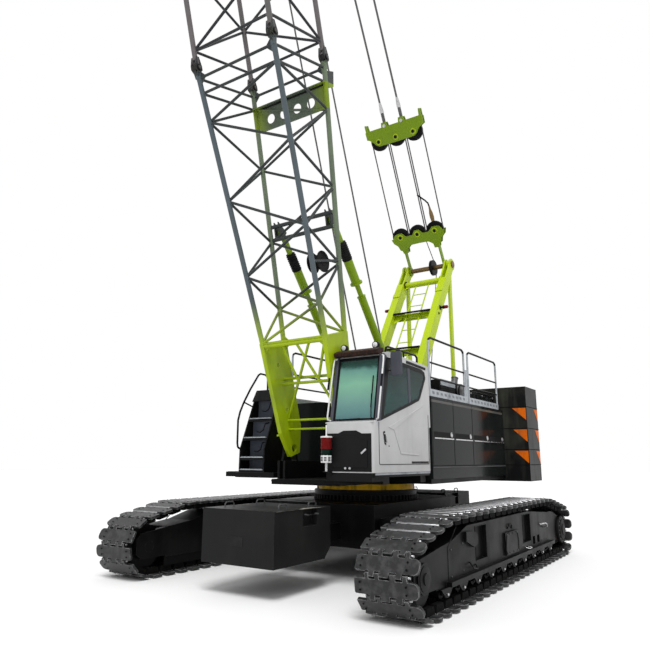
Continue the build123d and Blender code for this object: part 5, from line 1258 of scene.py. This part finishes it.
catches = [(x, 1.458, 3.330) for x in (-2.05, -2.75, -3.45)]
piece("hood_catches", [hexagons(catches, 0.020, 0.016, (0, 1, 0))], bright_steel, "upperworks")


# Gantry: lime box-section legs and struts with gusset plates, black gratings to stand on, and a
# thin ladder between them; the head shaft is bronze and its sheave black.


def painted(name, colour, roughness, dirt, patches, streaks, scale):
    """Sprayed colour, chipped to a pale primer along its edges."""
    return weathered(
        name, colour, roughness, dirt, patches, streaks, scale, 0.0004, bare=(0.55, 0.62, 0.25), edge=0.005,
        wear=0.25,
        coat=0.25,
    )


lime_paint = painted("lime_paint", (0.44, 0.58, 0.008), 0.35, (0.34, 0.44, 0.02), 0.3, 0.3, 1.2)
# A darker copy of the lime: on the tackle's plates, which face downwards, the darkening is painted shade; the
# backstops wear it too.
lime_darkened = painted("lime_darkened", (0.175, 0.285, 0.002), 0.38, (0.13, 0.21, 0.004), 0.3, 0.3, 1.2)
brass = weathered("brass", (0.20, 0.13, 0.06), 0.35, (0.06, 0.04, 0.02), 0.6, 0.1, 9.0, 0.001, metal=0.6)
finish(lime_paint, "gantry_legs", "gantry_struts")
finish(brass, "gantry_shaft")
finish(trim_black, "gantry_sheave")
gantry_angle = radians(56.8)


def leg_at(z, forward=0.0):
    """X on the sloping leg's middle line at a height, or on a line that far in front of it."""
    return -3.325 + (6.739 - z) / np.tan(gantry_angle) + forward / sin(gantry_angle)


gussets = []
for z, reach in ((6.280, 0.17), (5.280, 0.20), (4.300, 0.20), (2.700, 0.24)):
    x = leg_at(z)
    for way in (-1, 1):
        gussets.append(turned_to(
            slab([(0.486, reach), (0.486, -reach), (0.300, -0.040), (0.300, 0.040)], -0.008, 0.008),
            (x, 0, z), (0, way, 0), (-cos(gantry_angle), 0, sin(gantry_angle)),
            (sin(gantry_angle), 0, cos(gantry_angle)),
        ))
for way in (-1, 1):
    for z in (2.30, 3.60, 5.90):
        corners = [(z, -0.150), (z, 0.150), (z + 0.10, 0.150), (z + 0.10, -0.150)]
        wrap = [(leg_at(height, forward), height) for height, forward in corners]
        gussets.append(side_plate(wrap, *sorted((way * 0.4900, way * 0.6625))))
piece("gantry_gussets", gussets, lime_paint, "upperworks", bevel=0.004)
ends = []
for way in (-1, 1):
    ends.append(lathe([(0.110, 0.470), (0.110, 0.482), (0.076, 0.488), (0.076, 0.490)],
                      (leg_at(6.280), 0, 6.280), (0, way, 0), 24))
    for z in (4.300, 5.280):
        ends.append(lathe([(0.030, 0.6612), (0.030, 0.672), (0.014, 0.680)], (leg_at(z), 0, z), (0, way, 0),
                          6))
piece("gantry_end_plates", ends, trim_black, "upperworks", bevel=0.001)
gratings = []
for z in (4.300, 5.280):
    x, base = leg_at(z), z + 0.0702
    low, high = x - 0.200, x + 0.110
    for y in (-0.485, 0.479):
        gratings.append(box((low, y, base), (high, y + 0.006, base + 0.045)))
    gratings.append(box((high - 0.006, -0.485, base), (high, 0.485, base + 0.045)))
    for start, end in ((-0.485, -0.226), (0.196, 0.485)):
        gratings.append(box((low, start, base), (low + 0.006, end, base + 0.045)))
        gratings += [box((low, y, base + 0.010), (high, y + 0.005, base + 0.040))
                     for y in np.arange(start + 0.03, end - 0.01, 0.034)]
        gratings += [box((xx, start, base + 0.028), (xx + 0.006, end, base + 0.040))
                     for xx in np.arange(low + 0.05, high - 0.02, 0.060)]
    gratings += [box((high - 0.016, y, base + 0.010), (high, y + 0.005, base + 0.040))
                 for y in np.arange(-0.226, 0.196, 0.034)]
made = piece("gantry_gratings", gratings, trim_black, "upperworks")
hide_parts("gantry_walkways")
lamp_bodies, lamp_lenses = [], []
for way, z in ((-1, 5.560), (1, 5.440)):
    x = leg_at(z)
    lamp_bodies.append(lathe(
        [(0.045, 0.6612), (0.045, 0.670), (0.026, 0.674), (0.026, 0.720), (0.041, 0.726), (0.041, 0.775)],
        (x, 0, z), (0, way, 0), 24,
    ))
    low, high = sorted((way * 0.6612, way * 0.6660))
    lamp_bodies.append(box((x - 0.060, low, z - 0.050), (x + 0.060, high, z + 0.050)))
    lamp_lenses.append(lathe([(0.041, 0.775), (0.039, 0.780), (0.039, 0.835), (0.028, 0.850),
                              (0.008, 0.852)], (x, 0, z), (0, way, 0), 24))
made = piece("marker_lamp_bodies", lamp_bodies, trim_black, "upperworks", bevel=0.001)
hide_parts("marker_lamps")
piece("marker_lamp_lenses", lamp_lenses, lens_red, "upperworks")


# Boom: a welded tube lattice in sections, lime at its foot and slate and brown above, with black
# pinned bosses at the joints; a cable reel hangs at its left side.

lean_angle = radians(74.134)
lean_way = np.array((cos(lean_angle), 0, sin(lean_angle)))
below_way = np.array((sin(lean_angle), 0, -cos(lean_angle)))
boom_foot = np.array((1.583, 0, 2.123))
boom_length, joint_stations = 28.000, (6.833, 9.833, 15.833, 21.833)
width_line = ((0.350, 1.910, 6.833, 21.833, boom_length), (0.599, 0.6705, 0.8285, 0.8285, 0.420))
depth_line = ((0, 1.910, 6.833, 21.833, boom_length), (0.3085, 0.3085, 0.7555, 0.7555, 0.330))


def on_boom(s, depth, y):
    """A point at a length along the boom, a depth below its axis and a width to its left."""
    return boom_foot + lean_way * s + below_way * depth + (0, y, 0)


def chord(s, front, left):
    """A point on a chord: front is +1 for the lower pair and left +1 for the left pair."""
    return on_boom(s, front * np.interp(s, *depth_line), left * np.interp(s, *width_line))


boom_paint = painted("boom_paint", (0.27, 0.30, 0.26), 0.38, (0.060, 0.065, 0.060), 0.4, 0.2, 1.2)
tree = boom_paint.node_tree
place = add(tree, "ShaderNodeTexCoord").outputs["Object"]
boom_width = add(tree, "ShaderNodeSeparateXYZ", [(0, place)]).outputs["Y"]


def from_foot(way):
    """How far a point lies from the boom's foot along a direction."""
    whole = add(tree, "ShaderNodeVectorMath", [(0, place), (1, tuple(way))], operation="DOT_PRODUCT")
    return calc(tree, "SUBTRACT", whole.outputs["Value"], float(boom_foot @ way))


def off_line(source, line):
    """The square of how far a coordinate's size lies from the chords' line, which is straight
    between its stations."""
    ramp = add(tree, "ShaderNodeValToRGB", [(0, calc(tree, "DIVIDE", boom_reach, boom_length))])
    stops = ramp.color_ramp.elements
    while len(stops) < len(line[0]):
        stops.new(0.5)
    for stop, station, value in zip(stops, *line):
        stop.position = station / boom_length
        stop.color = (value, value, value, 1)
    off = calc(tree, "SUBTRACT", calc(tree, "ABSOLUTE", source), ramp.outputs[0])
    return calc(tree, "MULTIPLY", off, off)


chord_zone, plate_middle, plate_zone, joint_zone = 0.062, 6.165, 0.24, 0.065
boom_reach, boom_depth = from_foot(lean_way), from_foot(below_way)
off_square = calc(tree, "ADD", off_line(boom_width, width_line), off_line(boom_depth, depth_line))
is_chord = calc(tree, "LESS_THAN", off_square, chord_zone ** 2)
past_joint = calc(tree, "GREATER_THAN", boom_reach, joint_stations[0])
in_front = ranged(tree, boom_depth, 0.10, 0.32)
chord_colour = laid_over(tree, in_front, (0.140, 0.180, 0.115), (0.085, 0.110, 0.125))
chord_colour = laid_over(tree, past_joint, chord_colour, (0.135, 0.122, 0.125))
# The lacing is coloured near black, darker than the chords, as painted shade.
lacing_shade_colour = laid_over(tree, past_joint, (0.030, 0.036, 0.036), (0.022, 0.024, 0.028))
plain = laid_over(tree, is_chord, lacing_shade_colour, chord_colour)
on_plate = calc(tree, "COMPARE", boom_reach, plate_middle, plate_zone)
on_plate = calc(tree, "MULTIPLY", on_plate, calc(tree, "LESS_THAN", boom_depth, -0.60))
outer = ranged(tree, calc(tree, "ABSOLUTE", boom_width), 0.42, 0.80)
plate_colour = laid_over(tree, outer, (0.085, 0.110, 0.078), (0.190, 0.270, 0.010))
upper_part = laid_over(tree, on_plate, plain, plate_colour)
faded = laid_over(tree, ranged(tree, boom_reach, 1.80, 2.75), (0.37, 0.50, 0.004), upper_part)
at_joint = 0.0
for station in joint_stations:
    at_joint = calc(tree, "MAXIMUM", at_joint, calc(tree, "COMPARE", boom_reach, station, joint_zone))
blackened = laid_over(tree, at_joint, faded, (0.007, 0.007, 0.008))
boom_cover = next(node for node in tree.nodes if node.type == "GROUP" and node.node_tree == grime)
tree.links.new(blackened, boom_cover.inputs["Colour"])
finish(boom_paint, "boom_butt", "boom_insert_1", "boom_insert_2", "boom_insert_3", "boom_head")

bosses, pins = [], []
boss_line = [(0.040, -0.068), (0.058, -0.064), (0.058, 0.064), (0.040, 0.068)]
joint_pin_line = [(0.022, -0.088), (0.030, -0.084), (0.030, 0.084), (0.022, 0.088)]
for middle in [chord(s, front, left) for s in joint_stations for front in (-1, 1) for left in (-1, 1)]:
    bosses.append(lathe(boss_line, middle, (0, 1, 0), 24))
    pins.append(lathe(joint_pin_line, middle, (0, 1, 0), 16))
piece("boom_bosses", bosses, trim_black, "boom", bevel=0.003)
piece("boom_joint_pins", pins, zinc_dull, "boom")

corner_plates = []
for s in (1.910, 6.660):
    for left in (-1, 1):
        for front in (-1, 1):
            base = chord(s, front, left) - 0.010 * below_way
            reach = (lean_way * 0.16, np.array((0, -left * 0.17, 0)), -lean_way * 0.16)
            corner_plates.append(wedge([base + way for way in reach], 0.020 * below_way))
slab_line = [(6.30, -0.76), (6.62, -0.80), (6.66, -1.02), (6.36, -0.94)]
corner_plates.append(joined([(
    np.array([on_boom(s, depth, y) for y in (0.800, 0.840) for s, depth in slab_line]),
    [[3, 2, 1, 0], [4, 5, 6, 7], [0, 1, 5, 4], [1, 2, 6, 5], [2, 3, 7, 6], [3, 0, 4, 7]],
)]))
piece("boom_corner_plates", corner_plates, boom_paint, "boom", bevel=0.004)

reel_parts, reel_cable = [], []
reel_middle = on_boom(3.215, 0, 0)
for y in (0.440, 0.645):
    reel_parts.append(lathe(
        [(0.175, y - 0.004), (0.187, y), (0.187, y + 0.012), (0.175, y + 0.016), (0.165, y + 0.006),
         (0.080, y + 0.010),
         (0.070, y + 0.020), (0.030, y + 0.022)], (reel_middle[0], 0, reel_middle[2]), (0, 1, 0), 40,
    ))
turns = np.linspace(0, 14 * 2 * pi, 14 * 20)
windings = np.column_stack((
    reel_middle[0] + 0.120 * np.cos(turns), 0.470 + 0.165 * turns / turns[-1], reel_middle[2]
    + 0.120 * np.sin(turns),
))
reel_cable.append(tube(windings, 0.0062, 6))
piece("reel_discs", reel_parts, trim_black, "boom", bevel=0.001)
piece("reel_windings", reel_cable, rubber, "boom")
finish(trim_black, "cable_reel")

foot_cap = [(0.120, 0.040), (0.120, 0.052), (0.108, 0.058), (0.070, 0.058), (0.066, 0.075), (0.010, 0.078)]
foot_fittings = [lathe(foot_cap, boom_foot + (0, left * 0.600, 0), (0, left, 0), 32) for left in (-1, 1)]
piece("boom_foot_caps", foot_fittings, lime_paint, "boom", bevel=0.002)
foot_bolts = [
    boom_foot + (0.095 * cos(angle), left * 0.653, 0.095 * sin(angle))
    for left in (-1, 1) for angle in np.linspace(0, 2 * pi, 8, endpoint=False)
]
piece("boom_foot_bolts", [hexagons(foot_bolts, 0.012, 0.010, (0, 1, 0))], bright_steel, "boom")
eye = [tube([on_boom(0.400 + 0.055 * cos(a), -0.05 + 0.055 * sin(a), -0.652)
             for a in np.linspace(0, 2 * pi, 17)], 0.012, 8)]
safety_yellow = weathered("safety_yellow", (0.62, 0.46, 0.02), 0.4, (0.2, 0.15, 0.03), 0.4, 0.2, 6.0, 0.0005)
piece("foot_lifting_eye", eye, safety_yellow, "boom")

flange = [tube([on_boom(6.380, -0.735, -0.80), on_boom(6.380, -0.735, 0.80)], 0.042, 12)]
piece("plate_flange", flange, trim_black, "boom")


# Head sheaves: cast wheels on the head's shaft, each with a rope groove round a thin web.

cast_steel = weathered("cast_steel", (0.16, 0.16, 0.165), 0.38, (0.06, 0.055, 0.05), 0.7, 0.1, 6.0, 0.001,
                       metal=0.6)


def sheave(radius, half, hub, groove):
    """A wheel's half section from hub to rim, (radius, reach): flanges, a round groove, a thin web."""
    rim = [(radius - groove * (1 + cos(a)), -groove * 1.05 * sin(a)) for a in np.linspace(-pi / 2, pi / 2, 9)]
    web = half * 0.35
    return (
        [(hub, -half), (hub * 1.35, -half), (hub * 1.40, -web), (radius - 4.0 * groove, -web),
         (radius - 3.2 * groove, -half * 0.95),
         (radius, -half * 0.95)]
        + [(r, reach) for r, reach in rim[::-1]][::-1]
        + [(radius, half * 0.95), (radius - 3.2 * groove, half * 0.95), (radius - 4.0 * groove, web),
           (hub * 1.40, web),
           (hub * 1.35, half), (hub, half)]
    )


def wheel(profile, origin, axis, sides=48):
    """A closed turned ring: its profile is swept once round the axis and joined to its own start."""
    profile = np.asarray(profile, float)
    points, faces = lathe(profile, origin, axis, sides)
    count = len(profile)
    first = np.arange(sides)
    last = first + (count - 1) * sides
    closing = np.stack((last, np.roll(last, -1), np.roll(first, -1), first), axis=-1).tolist()
    return points, faces[:-2] + closing


head_middle = on_boom(28.000, 0.200, 0)
head_ys, head_radius, head_rope = (-0.200, 0.200), 0.330, 0.318
head_wheels = [
    wheel(sheave(head_radius, 0.035, 0.072, 0.014), head_middle + (0, y, 0), (0, 1, 0)) for y in head_ys
]
made = piece("head_wheels", head_wheels, cast_steel, "boom")
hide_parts("head_sheaves")


# Backstops: telescopic struts that stop the boom from falling back: lime tubes and rods, with
# ribbed rubber bellows between them and a flange at the boom's end.

backstop_base = np.array((-0.500, 0.576, 3.050))
backstop_eye = on_boom(3.965, -0.640, 0.576)
backstop_run = float(np.linalg.norm(backstop_eye - backstop_base))
backstop_way = unit(backstop_eye - backstop_base)
finish(lime_darkened, "backstop_tubes")


def on_backstop(profile, sides):
    """A turned shape on the left backstop's axis, and its mirror image."""
    return both([lathe(profile, backstop_base, backstop_way, sides)])


bellows = [(0.086, 3.195), (0.092, 3.200), (0.092, 3.213)]
for reach in np.arange(3.215, 3.530, 0.040):
    bellows += [(0.086, reach), (0.097, reach + 0.010), (0.097, reach + 0.022), (0.086, reach + 0.032)]
bellows += [(0.088, 3.558), (0.060, 3.560)]
flange_run = backstop_run - 1.284
flange_line = [(0.100, 0), (0.117, 0.003), (0.117, 0.035), (0.100, 0.038)]
neck = [(0.047, backstop_run - 2.300), (0.0472, flange_run)]
gland = [(0.050, 2.425), (0.080, 2.430), (0.084, 2.436), (0.084, 2.444), (0.050, 2.446)]
piece("backstop_bellows", on_backstop(bellows, 32), rubber, "backstop_rods", corner=25)
flanges = on_backstop([(radius, flange_run + reach) for radius, reach in flange_line], 32)
piece("backstop_flanges", flanges, lime_darkened, "backstop_rods")
piece("backstop_necks", on_backstop(neck, 24), lime_darkened, "backstop_rods")
finish(lime_darkened, "backstop_rods")
piece("backstop_glands", on_backstop(gland, 28), lime_darkened, "backstop_tubes")


# Luffing tackle: two scalloped lime plates with three grooved sheaves each and the rope falls
# between them, links to the gantry's head, and two pendants with forged sockets to the boom.

wire_rope = woven(
    "wire_rope", 22.0, 0.4, (0.030, 0.030, 0.032), (0.170, 0.170, 0.175), 0.6, 0.003,
    [("Roughness", 0.45), ("Metallic", 0.5)],
)
# The tackle's plates take the darkened lime as painted shade.
finish(lime_darkened, "lower_tackle", "upper_spreader")
gantry_head = np.array((-3.325, 0, 6.739))
lower_middle = np.array((-2.801, 0, 7.539))
upper_middle = np.array((-1.730, 0, 9.738))
pendant_end = on_boom(27.500, -0.750, 0)
lower_way, upper_way = unit(lower_middle - gantry_head), unit(pendant_end - gantry_head)
sheave_ys, pendant_ys, lead_y = (-0.472, 0, 0.472), (-0.233, 0.233), 0.150
rope_turn, fall_radius, lead_radius = 0.2115, 0.0165, 0.011
cap_line = [(0.040, 0.069), (0.040, 0.092), (0.034, 0.098), (0.010, 0.099)]
rim_line = [(0.072, 0.0695), (0.072, 0.0745), (0.050, 0.0760), (0.030, 0.0760)]
for name, middle, way, body in (
    ("lower_tackle", lower_middle, lower_way, "lower_tackle"),
    ("upper_spreader", upper_middle, upper_way, "upper_rigging"),
):
    over = np.array((-way[2], 0, way[0]))
    wheels = [wheel(sheave(0.225, 0.035, 0.0505, 0.013), middle + (0, y, 0), over, 40) for y in sheave_ys]
    made = piece(name + "_wheels", wheels, trim_black, body)
    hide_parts(name + "_sheaves")
    faces = [(middle + (0, y, 0), over * out) for y in sheave_ys for out in (-1, 1)]
    pin_caps = [lathe(cap_line, place, out, 24) for place, out in faces]
    piece(name + "_pin_caps", pin_caps, trim_black, body, bevel=0.001)
    rims = [lathe(rim_line, place, out, 28) for place, out in faces]
    piece(name + "_bosses", rims, lime_paint, body, bevel=0.001)

offsets = [(0, y + out * rope_turn, 0) for y in sheave_ys for out in (-1, 1)]
falls = [tube([lower_middle + offset, upper_middle + offset], fall_radius, 8) for offset in offsets]
made = piece("tackle_falls", falls, wire_rope, None)
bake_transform(made)
for name, middle, way, body in (
    ("lower", lower_middle, -lower_way, "lower_tackle"), ("upper", upper_middle, upper_way, "upper_rigging"),
):
    half_turn = [np.array((0, cos(a), 0)) + way * sin(a) for a in np.linspace(0, pi, 17)]
    arcs = [tube([middle + (0, y, 0) + rope_turn * at for at in half_turn], fall_radius, 8)
            for y in sheave_ys]
    piece(name + "_rope_wraps", arcs, wire_rope, body)

luffing_rope = [(-2.600, lead_y, 2.300), gantry_head + (-0.213, lead_y, 0)]
piece("luffing_rope", [tube(luffing_rope, lead_radius, 8)], wire_rope, "upperworks")
lead = [gantry_head + (-0.045, lead_y, 0.208), lower_middle + (-0.140, lead_y, -0.180)]
piece("luffing_lead", [tube(lead, lead_radius, 8)], wire_rope, "lower_tackle")

eye_line = [(0.030, -0.085), (0.042, -0.080), (0.042, 0.080), (0.030, 0.085)]
socket_line = [(0.026, 0.300), (0.044, 0.310), (0.050, 0.340), (0.046, 0.420), (0.034, 0.520), (0.027, 0.560)]
sleeve_line = [(0.036, 0.030), (0.0362, 0.200)]
pendant_root = upper_middle + upper_way * 0.330
pendant_way = unit(pendant_end - pendant_root)
over = np.array((-pendant_way[2], 0, pendant_way[0]))
sockets, sleeves = [], []
for y in pendant_ys:
    start = pendant_root + (0, y, 0)
    sockets += [lathe(eye_line, start, over, 20), lathe(socket_line, start, pendant_way, 20)]
    sleeves.append(lathe(sleeve_line, start, upper_way, 20))
piece("pendant_sockets", sockets, bright_steel, "upper_rigging", bevel=0.002)
finish(wire_rope, "pendants")
piece("pendant_sleeves", sleeves, rubber, "upper_rigging")

outer_sheave = lower_middle + (0, 0.472, 0)
over = np.array((-lower_way[2], 0, lower_way[0]))
half_plate = [
    (0.07, 0.045), (0.15, 0.005), (0.30, 0.005), (0.40, 0.078), (0.48, 0.098), (0.55, 0.050), (0.665, -0.008),
    (0.730, -0.012), (0.690, -0.130), (0.600, -0.210), (0.560, -0.330), (0.480, -0.370), (0.400, -0.360),
    (0.300, -0.280), (0.235, -0.240),
]
plate_line = [(0, 0.090)] + half_plate + [(0, -0.233)] + [(-y, along) for y, along in half_plate[::-1]]
cheeks = [
    turned_to(slab(plate_line, low, low + 0.004), lower_middle, (0, 1, 0), lower_way, over)
    for low in (-0.0735, 0.0695)
]
piece("lower_cheeks", cheeks, lime_darkened, "lower_tackle", bevel=0.001)
socket_line = [(0.020, 0.215), (0.042, 0.235), (0.052, 0.330), (0.046, 0.430), (0.028, 0.520), (0.018, 0.620)]
tail_line = ((0.600, 0.0), (0.690, -0.010), (0.770, -0.065), (0.880, -0.165), (0.950, -0.225))
tail = [outer_sheave + lower_way * reach + (0, y, 0) for reach, y in tail_line]
socket = lathe(socket_line, outer_sheave, lower_way, 16)
piece("rope_socket", [socket], brass, "lower_tackle", bevel=0.002)
piece("rope_tail", [tube(tail, 0.019, 10)], rubber, "lower_tackle")


# Hoist ropes: two steel wire ropes from the winches over the gantry side of the boom up to its
# head sheaves, and from there down to the hook block; drawn taut, so they run straight.

hoist_lines = []
for y, foot_x, foot_z in ((0.200, -1.04, 2.62), (-0.200, -0.56, 2.62)):
    top = head_middle + (0, y, 0) - below_way * head_rope
    hoist_lines.append(tube([(foot_x, y, foot_z), top], 0.017, 8))
made = piece("hoist_ropes", hoist_lines, wire_rope, None)
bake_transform(made)
over_line = [head_rope * np.array((sin(a), 0, cos(a))) for a in np.linspace(radians(-74), pi / 2, 15)]
over_head = [tube([head_middle + (0, y, 0) + at for at in over_line], 0.013, 8) for y in head_ys]
piece("head_rope_wraps", over_head, wire_rope, "boom")
finish(wire_rope, "hoist_falls")


# Hook block: two painted cheeks round one grooved sheave, with a forged hook below; it hangs on
# the hoist's two falls.

hook_red = painted("hook_paint", (0.55, 0.42, 0.03), 0.35, (0.12, 0.10, 0.04), 0.4, 0.4, 2.0)
finish(hook_red, "hook_block")
finish(cast_steel, "hook")
hook_x = float(head_middle[0]) + 0.3433
hook_z = float(head_middle[2]) - 3.200
stripes = []
for way in (-1, 1):
    for y in (-0.16, 0.04):
        low, high = hook_z - 0.20, hook_z - 0.02
        stripe = slab([(y, low), (y + 0.09, low), (y + 0.17, high), (y + 0.08, high)], 0.082, 0.0865)
        stripes.append(turned_to(stripe, (hook_x, 0, 0), (0, 1, 0), (0, 0, 1), (way, 0, 0)))
piece("hook_block_stripes", stripes, trim_black, "hook_block", bevel=0.001)
block_bolts = [(hook_x + 0.083, y, hook_z + dz) for y in (-0.200, 0.200) for dz in (-0.09, 0.13)]
piece("hook_block_bolts", [hexagons(block_bolts, 0.018, 0.014, (1, 0, 0))], bright_steel, "hook_block")
